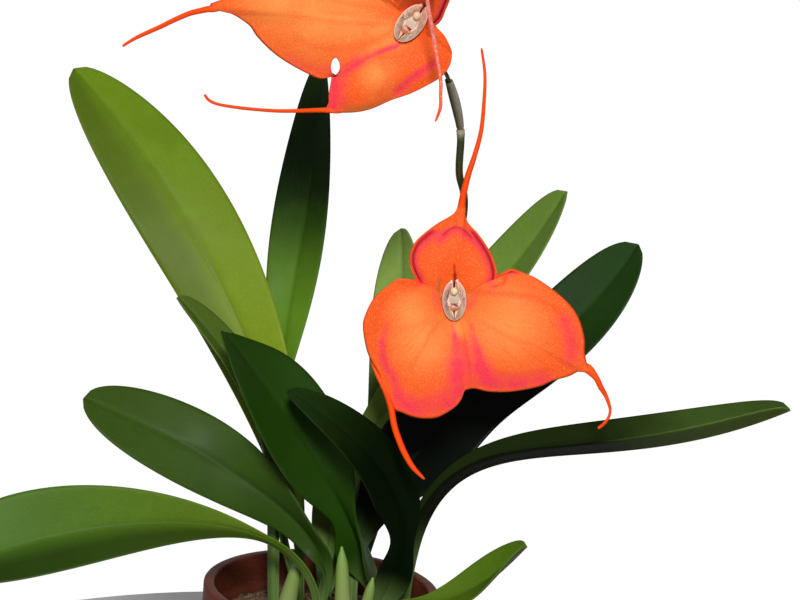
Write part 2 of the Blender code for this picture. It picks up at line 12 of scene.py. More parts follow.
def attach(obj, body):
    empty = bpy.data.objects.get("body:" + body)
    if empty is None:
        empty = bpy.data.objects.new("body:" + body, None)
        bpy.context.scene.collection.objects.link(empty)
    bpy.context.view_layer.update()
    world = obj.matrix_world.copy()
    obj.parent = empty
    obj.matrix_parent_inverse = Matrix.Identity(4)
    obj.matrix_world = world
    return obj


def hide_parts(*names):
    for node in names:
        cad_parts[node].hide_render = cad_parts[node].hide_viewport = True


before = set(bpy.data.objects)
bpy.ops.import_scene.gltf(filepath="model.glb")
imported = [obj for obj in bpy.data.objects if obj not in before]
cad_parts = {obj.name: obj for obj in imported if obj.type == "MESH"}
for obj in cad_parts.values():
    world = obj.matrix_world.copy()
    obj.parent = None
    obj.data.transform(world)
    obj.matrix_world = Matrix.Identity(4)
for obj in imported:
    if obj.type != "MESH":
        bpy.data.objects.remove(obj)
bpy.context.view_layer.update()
MM = 0.001
print("measured nodes:", len(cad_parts))

# %% [markdown]
# ## The camera
# The camera comes first, so that every piece can be judged in the picture's frame. The plant
# was seen from a little above and slightly tilted. The lens is long, so the pot's rim stays a
# flat ellipse.

# %% Place the camera
PITCH, ROLL = np.radians(10.8), np.radians(5.0)
CAMERA_AT = (0.01789, -0.64746, 0.29418)
LENS_MM, SENSOR_MM, CLIP_START = 90.0, 36.0, 0.01
ahead = np.array([0.0, np.cos(PITCH), -np.sin(PITCH)])
level = np.array([1.0, 0.0, 0.0])
above = np.cross(level, ahead)
cam_up = np.cos(ROLL) * above - np.sin(ROLL) * level
cam_right = np.cross(ahead, cam_up)
camera = bpy.data.objects.new("camera", bpy.data.cameras.new("camera"))
camera.data.lens, camera.data.sensor_width = LENS_MM, SENSOR_MM
camera.data.clip_start = CLIP_START
turn = Matrix((cam_right, cam_up, -ahead)).transposed().to_4x4()
camera.matrix_world = Matrix.Translation(CAMERA_AT) @ turn
bpy.context.scene.collection.objects.link(camera)
bpy.context.scene.camera = camera

# %% [markdown]
# ## Light
# A round key lamp hangs above and behind the camera, so the upper flower throws a soft shadow
# down onto the leaves behind it, and a weak fill lamp stands to the left. The sky is bright only
# in a cone ahead of the camera, where it stands for a white wall, and dim everywhere else. The
# board under the pot comes last, in its own cell.

# %% Light the plant
def lamp(name, place, aim, size, watts):
    """A round area lamp at place, pointing at aim; both, and its size, are in metres."""
    light = bpy.data.lights.new(name, "AREA")
    light.shape, light.size, light.energy = "DISK", size, watts
    made = bpy.data.objects.new(name, light)
    way = (Vector(aim) - Vector(place)).to_track_quat("-Z", "Y")
    made.matrix_world = Matrix.Translation(place) @ way.to_matrix().to_4x4()
    bpy.context.scene.collection.objects.link(made)


lamp("key", place=(0.05, -1.15, 0.80), aim=(0.0, 0.0, 0.17), size=0.25, watts=14.5)
lamp("fill", place=(-0.9, -0.9, 0.7), aim=(0.0, 0.0, 0.15), size=0.9, watts=1.2)

SKY_DIM, SKY_BRIGHT = 0.18, 1.02
CONE_OUTER, CONE_INNER = np.radians(36), np.radians(20)
world = bpy.data.worlds.new("studio")
world.use_nodes = True
sky = world.node_tree
way = sky.nodes.new("ShaderNodeTexCoord")
wall = sky.nodes.new("ShaderNodeVectorMath")
wall.operation = "DOT_PRODUCT"
wall.inputs[1].default_value = tuple(ahead)
sky.links.new(way.outputs["Generated"], wall.inputs[0])
fade = sky.nodes.new("ShaderNodeMapRange")
fade.interpolation_type = "SMOOTHSTEP"
for socket, number in enumerate((np.cos(CONE_OUTER), np.cos(CONE_INNER), SKY_DIM, SKY_BRIGHT)):
    fade.inputs[socket + 1].default_value = number
sky.links.new(wall.outputs["Value"], fade.inputs[0])
sky.nodes["Background"].inputs["Color"].default_value = (1.0, 1.0, 1.0, 1.0)
sky.links.new(fade.outputs[0], sky.nodes["Background"].inputs["Strength"])
bpy.context.scene.world = world
bpy.context.scene.view_settings.view_transform = "Standard"

# %% [markdown]
# ## Writing shader maths as plain sums
# A finish is easier to read as a formula than as a drawing of nodes. The class `Wire` stands for
# the output of a node, and a sum or product of wires adds the Math nodes. `Finish` is a material
# with one method that adds any other node.

# %% Wires and finishes
class Wire:
    """One output socket; sums, differences and products of wires add Math nodes."""

    def __init__(self, finish, socket):
        self.finish = finish
        self.socket = socket

    def math(self, operation, *values):
        return self.finish.node("ShaderNodeMath", {"operation": operation},
                                dict(enumerate(values)))

    def __add__(self, other):
        return self.math("ADD", self, other)

    __radd__ = __add__

    def __sub__(self, other):
        return self.math("SUBTRACT", self, other)

    def __rsub__(self, other):
        return self.math("SUBTRACT", other, self)

    def __mul__(self, other):
        return self.math("MULTIPLY", self, other)

    __rmul__ = __mul__

    def size(self):
        return self.math("ABSOLUTE", self)

    def low(self, other):
        return self.math("MINIMUM", self, other)

    def step(self, start, end):
        """Eases from 0 at start to 1 at end; start may be the larger."""
        return self.finish.node("ShaderNodeMapRange", {"interpolation_type": "SMOOTHSTEP"},
                                {0: self, 1: start, 2: end, 3: 0.0, 4: 1.0})


class Finish:
    """A material: its fixed shader values, and one method that adds every other node."""

    def __init__(self, name, **fixed):
        self.material = bpy.data.materials.new(name)
        self.material.use_nodes = True
        self.tree = self.material.node_tree
        self.shader = self.tree.nodes["Principled BSDF"]
        for socket, value in fixed.items():
            self.shader.inputs[socket.replace("_", " ")].default_value = value

    def node(self, kind, settings=None, values=None, out=0):
        """Adds a node and gives its output out; values holds its inputs, as numbers or wires."""
        made = self.tree.nodes.new(kind)
        for key, value in (settings or {}).items():
            setattr(made, key, value)
        for key, value in (values or {}).items():
            if isinstance(value, Wire):
                self.tree.links.new(value.socket, made.inputs[key])
            else:
                made.inputs[key].default_value = value
        return Wire(self, made.outputs[out])

    def value(self, name):
        """A number stored on the mesh's points."""
        return self.node("ShaderNodeAttribute", {"attribute_name": name}, out=2)

    def place(self):
        return self.node("ShaderNodeTexCoord", out="Object")

    def stretch(self, where, scale):
        return self.node("ShaderNodeMapping", None, {0: where, 3: scale})

    def noise(self, where, scale, detail=2.0, rough=0.5):
        return self.node("ShaderNodeTexNoise", None,
                         {"Vector": where, "Scale": scale, "Detail": detail, "Roughness": rough})

    def mix(self, share, first, second):
        """Goes from the first colour to the second as share goes from 0 to 1."""
        pick = [c if isinstance(c, Wire) else (*c, 1.0) for c in (first, second)]
        return self.node("ShaderNodeMix", {"data_type": "RGBA"},
                         {0: share, 6: pick[0], 7: pick[1]}, out=2)

    def bump(self, height, depth, strength=1.0, over=None):
        values = {"Height": height, "Distance": depth, "Strength": strength}
        if over:
            values["Normal"] = over
        return self.node("ShaderNodeBump", None, values)

    def wear(self, **links):
        """Links wires to the shader's sockets."""
        for socket, wire in links.items():
            self.tree.links.new(wire.socket, self.shader.inputs[socket.replace("_", " ")])
        return self.material


# %% [markdown]
# ## From a grid of points to a piece
# Every new piece is a grid of points worked out as one array. The rows run along the piece and
# the columns run around it. The same helper closes the ends, smooths the shading, and stores
# numbers that the finishes read, such as how far along a leaf a point lies.

# %% Build meshes from grids
def grid_faces(rows, cols):
    """Point numbers of the four-sided faces between neighbours of a grid that closes round."""
    i, j = np.meshgrid(np.arange(rows - 1), np.arange(cols), indexing="ij")
    k = (j + 1) % cols
    quads = np.stack([i * cols + j, i * cols + k, (i + 1) * cols + k, (i + 1) * cols + j], -1)
    return quads.reshape(-1, 4)


def piece(name, points, quads, finish, nodes, values=None):
    """One object at the origin, in metres, that rides on the plant and stands for its nodes."""
    mesh = bpy.data.meshes.new(name)
    mesh.from_pydata((np.asarray(points) * MM).tolist(), [], [list(q) for q in quads])
    for key, numbers in (values or {}).items():
        layer = mesh.attributes.new(key, "FLOAT", "POINT")
        layer.data.foreach_set("value", np.asarray(numbers, np.float32).ravel())
    mesh.polygons.foreach_set("use_smooth", np.ones(len(mesh.polygons), bool))
    mesh.materials.append(finish)
    made = bpy.data.objects.new(name, mesh)
    bpy.context.scene.collection.objects.link(made)
    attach(made, "root")
    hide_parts(*nodes)
    print(name, len(mesh.polygons), "faces")
    return made


def unit(v):
    return v / (np.linalg.norm(v, axis=-1, keepdims=True) + 1e-12)


def through(points, per):
    """A smooth curve through points (Catmull-Rom), with per steps between two of them."""
    p = np.asarray(points, float)
    p = np.vstack([2 * p[0] - p[1], p, 2 * p[-1] - p[-2]])
    t = (np.arange(per) / per)[None, :, None]
    a, b, c, d = (p[k:len(p) - 3 + k][:, None, :] for k in range(4))
    run = 0.5 * (2 * b + (c - a) * t + (2 * a - 5 * b + 4 * c - d) * t ** 2
                 + (3 * b - a - 3 * c + d) * t ** 3)
    return np.vstack([run.reshape(-1, p.shape[1]), p[-2]])


def heading(azimuth, elevation):
    """Unit direction from two angles in degrees."""
    a, e = np.radians(azimuth), np.radians(elevation)
    return np.array([np.cos(a) * np.cos(e), np.sin(a) * np.cos(e), np.sin(e)])


# %% [markdown]
# ## The leaves
# A masdevallia leaf is one fleshy strap on a channelled petiole. Its midrib is a single curve,
# pulled up out of the base and pulled into the tip. Each half of the blade lifts by the fold
# angle, and near the base the halves close to a gutter.

# %% Leaf table
# Leaves, in mm and degrees, as rows of LEAF_KEYS. The midrib runs from base, on the bark, to tip,
# and rise and run are its pulls at the two ends. width is the blade's greatest width, fold is the
# lift of its halves, and stalk is the share of the length that is petiole. face0 and face1 are
# the azimuth and elevation that the upper side looks to at the base and at the tip. A last dict
# can add low, a half width low on the leaf, round low_at and over low_run, and channel, the fold
# angle at the base.
SOIL_TOP = 60.0
SHANK_FLOOR = 48.4
LOW_AT, LOW_RUN, CHANNEL = 0.22, 0.13, 50
PETIOLE_HALF = 2.0
BLADE_RISE, BLADE_FALL = 1.15, 0.5
LEAF_KEYS = ("base", "rise", "tip", "run", "width", "fold", "stalk", "face0", "face1")
LEAVES = {
    "leaf_back_left": (
        (-7, 8), (0, -3, 63), (-102, 48, 233), (-47, 8, 41), 33, -1, 0.05, (-100, -11), (-100, 62)),
    "leaf_upright": (
        (-8, 14), (-27, 8, 60), (-16, 45, 244), (-3, 17, 87), 26, 13, 0.30, (-51, 0), (-150, -12)),
    "leaf_inner_left": (
        (-16, -4), (-4, -2, 56), (-56, 6, 164), (-37, 2, 34), 23, 12, 0.25, (-29, 9), (-9, 25)),
    "leaf_dark_left": (
        (18.9, 5), (4.5, 10.2, 12.4), (-38, -15, 158), (-32, 24, 29), 32, 13, 0.25, (-146, -11), (-19, 15),
        dict(low=10)),
    "leaf_dark_front": (
        (15, -11), (25, -1, 41), (-15, -29, 144), (-32, 7, 17), 25, 7, 0.25, (-92, -8), (-80, 87),
        dict(low=6, channel=25)),
    "leaf_low_left": (
        (-5, -11), (25, -11, 37), (-82, -15, 132), (-44, -7, 18), 26, 4, 0.10, (-1, -71), (-79, 47)),
    "leaf_far_left": (
        (0, -17), (3, -13, 65), (-120, -66, 80), (-12, -33, -9), 33, 25, 0.25, (-87, 15), (-115, 39)),
    "leaf_long_right": (
        (28.5, -2), (-2.5, -1, 88), (145, -24, 151), (66, -23, 44), 24, 39, 0.15, (194, 41), (-91, 85),
        dict(low=4, low_at=0.2, low_run=0.14)),
    "leaf_dark_right": (
        (11, 6), (-8, 5, 62), (97, 27, 192), (27, 1, 58), 28, 18, 0.25, (-99, 6), (-127, 20),
        dict(low=15, low_at=0.38, low_run=0.18, channel=25)),
    "leaf_back_right": (
        (1, 10), (-8, 5, 68), (72, 42, 206), (29, -9, 65), 25, 16, 0.20, (-108, 10), (-148, 24),
        dict(low=8, channel=25)),
    "leaf_back_middle": (
        (1, 24), (14, 8, 45), (16, 68, 184), (-7, 24, 42), 21, 16, 0.25, (-80, 9), (-119, -26),
        dict(low=9, channel=20)),
    "leaf_young_right": (
        (19, -15), (7, -7, 27), (64, -43, 104), (28, -20, 45), 16, 21, 0.25, (-104, 7), (-117, 76)),
}


# %% Leaf surface
def even_curve(p0, p1, p2, p3, n):
    """n points evenly spaced along a cubic curve with those four control points."""
    t = np.linspace(0, 1, 400)[:, None]
    c = (1 - t) ** 3 * p0 + 3 * (1 - t) ** 2 * t * p1 + 3 * (1 - t) * t ** 2 * p2 + t ** 3 * p3
    run = np.r_[0, np.cumsum(np.linalg.norm(np.diff(c, axis=0), axis=1))]
    want = np.linspace(0, run[-1], n)
    return np.stack([np.interp(want, run, c[:, i]) for i in range(3)], -1)


def leaf_frame(row, n):
    """Midrib, side and upper directions, half width, fold angle and thickness along a leaf."""
    leaf = dict(zip(LEAF_KEYS, row), **(row[9] if len(row) > 9 else {}))
    base = np.array([*leaf["base"], SOIL_TOP], float)
    tip = np.array(leaf["tip"], float)
    mid = even_curve(base, base + leaf["rise"], tip - np.array(leaf["run"], float), tip, n)
    along = unit(np.gradient(mid, axis=0))
    s = np.linspace(0, 1, n)[:, None]
    up = (1 - s) * heading(*leaf["face0"]) + s * heading(*leaf["face1"])
    up = unit(up - (up * along).sum(1)[:, None] * along)
    side = np.cross(up, along)
    u = np.clip((s - leaf["stalk"]) / (1 - leaf["stalk"]), 0, 1)
    peak = BLADE_RISE / (BLADE_RISE + BLADE_FALL)
    blade = (u / peak) ** BLADE_RISE * ((1 - u) / (1 - peak)) ** BLADE_FALL
    at, reach = leaf.get("low_at", LOW_AT), leaf.get("low_run", LOW_RUN)
    belly = leaf.get("low", 0) * np.exp(-((s - at) / reach) ** 2)
    half = np.sqrt((leaf["width"] / 2 * blade) ** 2 + (PETIOLE_HALF * (1 - u)) ** 2 + belly ** 2)
    gutter = leaf.get("channel", CHANNEL)
    fold = np.radians(leaf["fold"] + (gutter - leaf["fold"]) * (1 - u) ** 3)
    thick = 0.9 + 1.3 * (1 - u) ** 2
    return mid, side, up, half, fold, thick, s, u


def leaf_grid(row, n=110, m=14):
    """Point = midrib + across * half * side + lift * up, for the upper and then the under side.

    Each cross section is one ring of 4m + 2 points, and the first ring goes down into the bark.
    """
    mid, side, up, half, fold, thick, s, u = leaf_frame(row, n)
    half[-1] = 0.3
    t = np.linspace(-1, 1, 2 * m + 1)[None, :]
    flat = t * half * np.cos(fold)
    crease = np.sqrt(t ** 2 + 0.004) - 0.063
    lift = crease * half * np.sin(fold) + 0.5 * u * np.sin(14 * s + 3 * t) * t ** 2 * (1 - s)
    edge = np.sqrt(np.clip(1 - t ** 2, 0, 1))
    rib = thick * (0.35 + 0.65 * edge ** 0.5) * 0.5
    groove = 0.35 * np.exp(-(t * half / 0.9) ** 2)
    keel = 0.7 * np.exp(-(t * half / 1.3) ** 2)
    top = lift + rib - groove
    under = lift - rib - keel * (1 - 0.6 * u)
    sides = []
    for level, order in ((top, slice(None)), (under, slice(None, None, -1))):
        grid = (mid[:, None, :] + flat[:, :, None] * side[:, None, :]
                + level[:, :, None] * up[:, None, :])
        sides.append(grid[:, order])
    ring = np.concatenate(sides, 1)
    across = np.concatenate([t[0], t[0][::-1]])
    face = np.concatenate([np.ones(2 * m + 1), np.zeros(2 * m + 1)])
    foot = ring[0].copy()
    foot[:, 2] = SHANK_FLOOR
    ring = np.concatenate([foot[None], ring], 0)
    run = np.concatenate([[0.0], s[:, 0]])
    return ring, across, face, run, np.concatenate([half[:1], half])


def closed_tube(grid):
    """Points and faces of a grid of rings with both ends closed by a centre point."""
    rows, cols = grid.shape[:2]
    points = np.vstack([grid.reshape(-1, 3), grid[0].mean(0), grid[-1].mean(0)])
    quads = [tuple(q) for q in grid_faces(rows, cols)]
    j = np.arange(cols)
    k = (j + 1) % cols
    last = (rows - 1) * cols
    quads += [(rows * cols, int(b), int(a)) for a, b in zip(j, k)]
    quads += [(rows * cols + 1, int(last + a), int(last + b)) for a, b in zip(j, k)]
    return points, quads


def merged(shapes):
    """Several shapes, each with points and faces, as one list of points and one of faces."""
    parts, faces, count = [], [], 0
    for points, quads in shapes:
        parts.append(points)
        faces += [tuple(i + count for i in q) for q in quads]
        count += len(points)
    return np.vstack(parts), faces


# %% [markdown]
# ## Leaf finish
# The leaves are waxy, so they have a thin coat over a deep green. Old leaves are a darker green, and
# leaves in the sun turn yellow-green. The near-black low parts of the front leaves, the very dark top of
# the upright leaf, and the darker half of some blades are painted shade. Fine long veins, a darker midrib
# line, a pale edge, and soft blotches keep the green from being flat. The under side and the petiole have
# their own colours.

# %% Leaf finish
def scaled(color, by):
    """A colour with all its numbers made larger or smaller."""
    return tuple(by * c for c in color)


def leaf_finish(name, tip, base, tip_under, base_under, turn=(0.2, 0.9), shade=0.0, wax=1.0):
    """Waxy leaf skin that goes from the base colour to the tip colour along the blade.

    turn is where along the leaf the colour changes, and shade paints shade on one half of the blade: the
    half on the side direction if it is positive, and the other half if it is negative.
    wax scales the gloss.
    """
    skin = Finish(name, Roughness=0.42, Coat_Weight=0.03 * wax, Coat_Roughness=0.3,
                  Specular_IOR_Level=0.10 * wax)
    spot = skin.place()
    along, across, face = skin.value("along"), skin.value("across"), skin.value("face")
    wide = skin.value("across_mm")
    lane = skin.node("ShaderNodeCombineXYZ", None, {0: across * 9.0, 1: along * 5.0, 2: face})
    vein = skin.noise(lane, 7.0, 3.0, 0.6)
    cloud = skin.noise(spot, 55.0, 4.0, 0.6)
    grain = skin.noise(spot, 1500.0, 2.0, 0.6)
    reach = (along + (cloud - 0.5) * 0.12).step(*turn)
    green = skin.mix(reach, base, tip)
    lit = skin.mix(reach, scaled(base, 1.6), scaled(tip, 1.6))
    green = skin.mix(cloud.step(0.42, 0.68) * 0.25 + grain.step(0.45, 0.7) * 0.15, green, lit)
    green = skin.mix(vein.step(0.5, 0.75) * 0.2, green, scaled(base, 0.6))
    # Painted shade: one half of the blade is darkened towards a dark copy of the tip colour.
    if shade:
        half = (across * float(np.sign(shade))).step(-0.25, 0.55)
        green = skin.mix(half * abs(shade), green, scaled(tip, 0.15))
    line = wide.size().step(0.9, 0.25) * along.step(0.95, 0.5) * face
    green = skin.mix(line * 0.35, green, scaled(base, 0.4))
    under = skin.mix(reach, base_under, tip_under)
    under = skin.mix(vein.step(0.5, 0.75) * 0.3, under, scaled(base_under, 0.6))
    both = skin.mix(face, under, green)
    margin = skin.mix(reach, scaled(base_under, 1.6), scaled(tip_under, 1.6))
    both = skin.mix(across.size().step(0.96, 1.0) * 0.35, both, margin)
    both = skin.mix(along.step(0.24, 0.06) * 0.85, both, skin.mix(cloud, PETIOLE, PALE_FOOT))
    rough = 0.40 + grain * 0.12 + cloud * 0.14
    ridge = skin.bump(vein, 0.00012, 0.6)
    ridge = skin.bump(grain, 0.00004, 0.5, ridge)
    return skin.wear(Base_Color=both, Roughness=rough, Normal=ridge)


PETIOLE, PALE_FOOT = (0.10, 0.20, 0.04), (0.20, 0.30, 0.09)
# Each leaf's colours: tip and base above, then tip and base below. After them come turn, shade and wax,
# where they aren't the usual ones; shade is painted shade on one half of the blade.
COATS = {
    "leaf_back_left": ((0.13, 0.225, 0.008), (0.21, 0.3, 0.012),
        (0.13, 0.18, 0.02), (0.15, 0.2, 0.03), (0.2, 0.9), 0.45),
    # The upright leaf's very dark tip colour is painted shadow of the upper flower.
    "leaf_upright": ((0.006, 0.02, 0.002), (0.11, 0.24, 0.014),
        (0.02, 0.05, 0.01), (0.06, 0.12, 0.02), (0.5, 0.78)),
    "leaf_inner_left": ((0.08, 0.14, 0.018), (0.06, 0.13, 0.018), (0.08, 0.13, 0.03), (0.09, 0.14, 0.04)),
    "leaf_dark_left": ((0.014, 0.046, 0.002), (0.02, 0.066, 0.003),
        (0.02, 0.05, 0.01), (0.03, 0.06, 0.01)),
    # The dark front leaf's near-black base colours are painted shade in the crown, under the front flower.
    "leaf_dark_front": ((0.012, 0.034, 0.003), (0.002, 0.006, 0.001),
        (0.01, 0.03, 0.01), (0.01, 0.02, 0.003), (0.66, 0.98), 0.0, 0.3),
    "leaf_low_left": ((0.036, 0.076, 0.006), (0.022, 0.055, 0.003),
        (0.04, 0.08, 0.02), (0.04, 0.08, 0.02)),
    "leaf_far_left": ((0.06, 0.14, 0.012), (0.11, 0.19, 0.012),
        (0.07, 0.13, 0.03), (0.09, 0.15, 0.03), (0.2, 0.9), 0.75),
    # The long right leaf's near-black base colours are painted shade in the crown, and its shade darkens
    # its far half.
    "leaf_long_right": ((0.105, 0.195, 0.035), (0.002, 0.004, 0.0),
        (0.068, 0.11, 0.018), (0.004, 0.006, 0.001), (0.6, 0.86), 0.7, 0.3),
    # The dark right leaf's near-black base colours are painted shade under the front flower.
    "leaf_dark_right": ((0.014, 0.045, 0.005), (0.001, 0.003, 0.001),
        (0.03, 0.06, 0.02), (0.01, 0.02, 0.01), (0.62, 0.88)),
    "leaf_back_right": ((0.135, 0.235, 0.034), (0.11, 0.18, 0.024), (0.1, 0.16, 0.04), (0.1, 0.16, 0.04)),
    "leaf_back_middle": ((0.215, 0.33, 0.065), (0.04, 0.09, 0.012),
        (0.12, 0.19, 0.06), (0.12, 0.19, 0.06), (0.45, 0.75)),
    "leaf_young_right": ((0.078, 0.16, 0.007), (0.1, 0.17, 0.012),
        (0.06, 0.09, 0.02), (0.08, 0.12, 0.03)),
}

# %% Grow the leaves
for name, row in LEAVES.items():
    ring, across, face, run, half = leaf_grid(row)
    points, quads = closed_tube(ring)
    rows, cols = ring.shape[:2]
    spread = dict(
        along=np.append(np.repeat(run, cols), [0, 1]),
        across=np.append(np.tile(across, rows), [0, 0]),
        across_mm=np.append(np.outer(half[:, 0], across).ravel(), [0, 0]),
        face=np.append(np.tile(face, rows), [1, 1]))
    piece("blade_" + name[5:], points, quads, leaf_finish(name, *COATS[name]), [name],
          spread)

# %% [markdown]
# ## Stalks, shoots and the bract
# The flower stalks are thin round tubes, thinner above the joint where the papery bract sits.
# Short green sheaths stand between the leaves.

# %% Tubes along a path
def tube_grid(line, radii, sides, ref=(0.31, 0.94, 0.11), flat=1.0):
    """Rings of radius r(i) round a path, each turned as little as possible from the last.

    flat makes the rings thinner along the direction ref.
    """
    pts = np.asarray(line, float)
    along = unit(np.gradient(pts, axis=0))
    ang = np.linspace(0, 2 * np.pi, sides, endpoint=False)
    first, second = np.zeros_like(pts), np.zeros_like(pts)
    for i, d in enumerate(along):
        ref = unit(ref - (ref @ d) * d)
        first[i], second[i] = ref, np.cross(d, ref)
    r = np.broadcast_to(np.asarray(radii, float), len(pts))[:, None, None]
    thin = r * np.broadcast_to(np.asarray(flat, float), len(pts))[:, None, None]
    return (pts[:, None] + thin * np.cos(ang)[None, :, None] * first[:, None]
            + r * np.sin(ang)[None, :, None] * second[:, None])


# %% Flower table
# Flowers, in mm. place is where the mouth of the tube stands; the face looks towards azimuth
# and elevation and is rolled about that direction, and turn rolls the oval mouth and what
# stands in it once more. Each sepal's margin goes anticlockwise as seen from the front, from
# one join to the next, in the flower's own right and up directions. A tail's points also
# give how far it stands forward, and its radii go with them.
FLOWERS = {
    "front": dict(
        place=(35, -26, 177), azimuth=-90, elevation=11, roll=5, turn=0,
        dorsal=((13, 5), (13.5, 9.5), (12, 14.5), (10, 18), (7, 22), (4.5, 25), (3.5, 28), (3.5, 30),
            (1.2, 30), (-0.5, 27.5), (-5.5, 24.5), (-9.5, 21.5), (-12.5, 18.5), (-14, 14.5),
            (-13.5, 10.5), (-11, 5)),
        left=((-11, 5), (-13, 6.5), (-17.5, 7), (-21, 5), (-25.5, 1), (-28.5, -5), (-29, -9),
            (-28, -15), (-26.5, -19), (-24, -23.5), (-22, -29), (-19, -34.5), (-17, -35.5), (-13, -37),
            (-9, -37.5), (-5, -37), (-0.5, -34.5), (2, -32), (3.5, -28.5)),
        right=((3.5, -28.5), (6.5, -28), (11, -29), (18, -29), (26.5, -27.5), (31.5, -25.5),
            (36.5, -24), (39.5, -22.5), (41.5, -23), (43.5, -23), (42, -19.5), (41.5, -16),
            (41.5, -12.5), (40, -6.5), (37, -1.5), (31.5, 3.5), (24.5, 8), (18, 9.5), (13, 5)),
        tails=(((1.5, 24, -1.9), (2.2, 28, -1.9), (2.5, 31, -1.5), (3.2, 35, -0.5), (4.5, 40, 0),
            (6.5, 46, 0), (8.5, 53.5, -1), (9.5, 62, -4), (10, 72, -7), (9, 81, -9)),
            ((-26.5, -18, -1.9), (-24, -24, -1.8), (-21.5, -29.5, -1.5), (-20, -34, -1),
            (-19, -39.5, 0), (-17.5, -44, 1.5), (-15.5, -48.5, 3), (-13, -52.5, 4.5), (-9.5, -56, 6)),
            ((39.5, -19.5, -1.9), (42.5, -21.7, -1.9), (45, -24.5, -1.7), (46.5, -27.5, -1.5),
            (48, -30, -2), (49, -32.5, -2), (49.5, -34.8, -2), (49, -37, -2), (47.5, -39, -1.5),
            (45.5, -40.5, -0.5))),
        girths=((0.5, 1.3, 1.15, 1.05, 0.95, 0.8, 0.7, 0.6, 0.5, 0.4),
            (0.4, 0.6, 0.85, 1.0, 1.0, 1.0, 0.95, 0.8, 0.4),
            (0.5, 1.3, 0.95, 0.9, 0.7, 0.55, 0.45, 0.45, 0.5, 0.5)),
        tilt=0.0, bend=0.0),
    "upper": dict(
        place=(14, -58, 264), azimuth=-90, elevation=11, roll=5, turn=-38,
        dorsal=((7, -1), (9, 0.5), (10, 2.5), (12, 9), (9.5, 14), (6, 16.5), (4.5, 17.5), (1, 16),
            (-4, 13), (-6.5, 9), (-6, 7)),
        left=((-6, 7), (-11.5, 13.5), (-20, 19), (-32, 19), (-43, 14), (-51.5, 10), (-56, 8),
            (-59.5, 6.8), (-58.5, 5.2), (-56, 4.6), (-53, 3.8), (-50, 2), (-47.5, 0), (-45.5, -3),
            (-41, -7.5), (-36, -11), (-29.5, -14.5), (-26.5, -15.5), (-23.5, -15)),
        right=((-23.5, -15), (-24, -17.5), (-24.5, -20.5), (-24.5, -22.5), (-25, -25), (-17.5, -25.5),
            (-11.5, -24.5), (-5.5, -22), (0.5, -20), (7.5, -16.5), (10.5, -14), (12, -11), (12, -8),
            (10, -4), (7, -1)),
        tails=(((3.5, 13.5, 15.2), (4.3, 17, 17.6), (4.8, 18.7, 20), (4.8, 18, 22.8), (4.5, 14, 23.8),
            (4.3, 9, 22.3), (4.5, 4, 20), (5.5, -1.5, 17), (6.5, -6.5, 14), (7.5, -12, 12),
            (8.5, -18, 11), (8.5, -22, 10), (8.5, -25, 9.5), (8, -27, 9), (7, -29.5, 9)),
            ((-52, 7.2, -7), (-58, 5.7, -7.7), (-61, 5.2, -8), (-65.5, 4.2, -8.5), (-70, 2.5, -9.5),
            (-74.5, 0.5, -10.5), (-80.5, -2, -11.5), (-83, -3.2, -12), (-86, -5, -12.5)),
            ((-17.5, -24.3, -7.8), (-22, -24.5, -8.2), (-26.5, -24.5, -8.5), (-33, -24.6, -9.5),
            (-39, -24.6, -10), (-45, -24.2, -10.5), (-51, -23.5, -11.5), (-57, -22.5, -12),
            (-60, -21.3, -12), (-61.5, -19.5, -12))),
        girths=((0.6, 0.9, 0.8, 0.7, 0.65, 0.6, 0.6, 0.6, 0.6, 0.55, 0.55, 0.5, 0.5, 0.45, 0.3),
            (0.6, 1.0, 0.9, 0.8, 0.75, 0.7, 0.6, 0.5, 0.4),
            (0.5, 0.8, 0.7, 0.6, 0.55, 0.5, 0.5, 0.45, 0.45, 0.4)),
        tilt=1.2, bend=0.2, hole=(-22.2, -12.2)),
}
# Ovals are a half width and a half height. The last is the slot through the upper flower's join.
TUBE_DEPTH, CALYX_T = 15.0, 0.8
TUBE_OVAL, MOUTH_OVAL, HOLE_OVAL = (3.7, 5.0), (3.95, 6.3), (1.3, 2.7)
# What stands in the mouth, in mm from its centre: right, up and forward.
COLUMN = ((0, 0.6, -14.6), (0, 1.0, -9), (0, 1.9, -4), (0, 2.6, -1.2), (0, 2.9, 0.2))
COLUMN_R = (0.9, 1.0, 1.2, 1.2, 0.6)
LIP = ((0, -2.3, -14.6), (0, -2.6, -9), (0, -2.6, -4), (0, -2.2, -1.4), (0, -2.0, -0.1))
LIP_W = (0.7, 0.9, 1.6, 2.0, 1.3)
LIP_T = (0.4, 0.45, 0.7, 1.0, 0.6)
# A petal is a curved blade whose cross sections are arcs of ovals: each has its forward place,
# half width, half height, and arc in degrees.
PETAL_CUP = ((-9, 1.2, 2.4, 70), (-4.5, 1.4, 3.2, 76), (-2.6, 1.5, 3.8, 80), (-1.3, 2.2, 4.9, 84),
             (-0.1, 3.55, 6.1, 86), (0.7, 3.8, 6.35, 86))


def flower_axes(flower):
    """Right, up and outward directions of a flower's face."""
    out = heading(flower["azimuth"], flower["elevation"])
    right = unit(np.cross((0, 0, 1.0), out))
    up = np.cross(out, right)
    r = np.radians(flower["roll"])
    return np.array([np.cos(r) * right + np.sin(r) * up, np.cos(r) * up - np.sin(r) * right, out])


def set_in(flower, points):
    """Points in a flower's own right, up, forward mm, moved to the plant."""
    return np.array(flower["place"], float) + np.asarray(points, float) @ flower_axes(flower)


def height_of(flower, x, y):
    """How far the face leans forward at a point."""
    q = 0.6 * x + 0.8 * y
    return flower["tilt"] * np.maximum(q, 0) + flower["bend"] * np.minimum(q, 0)


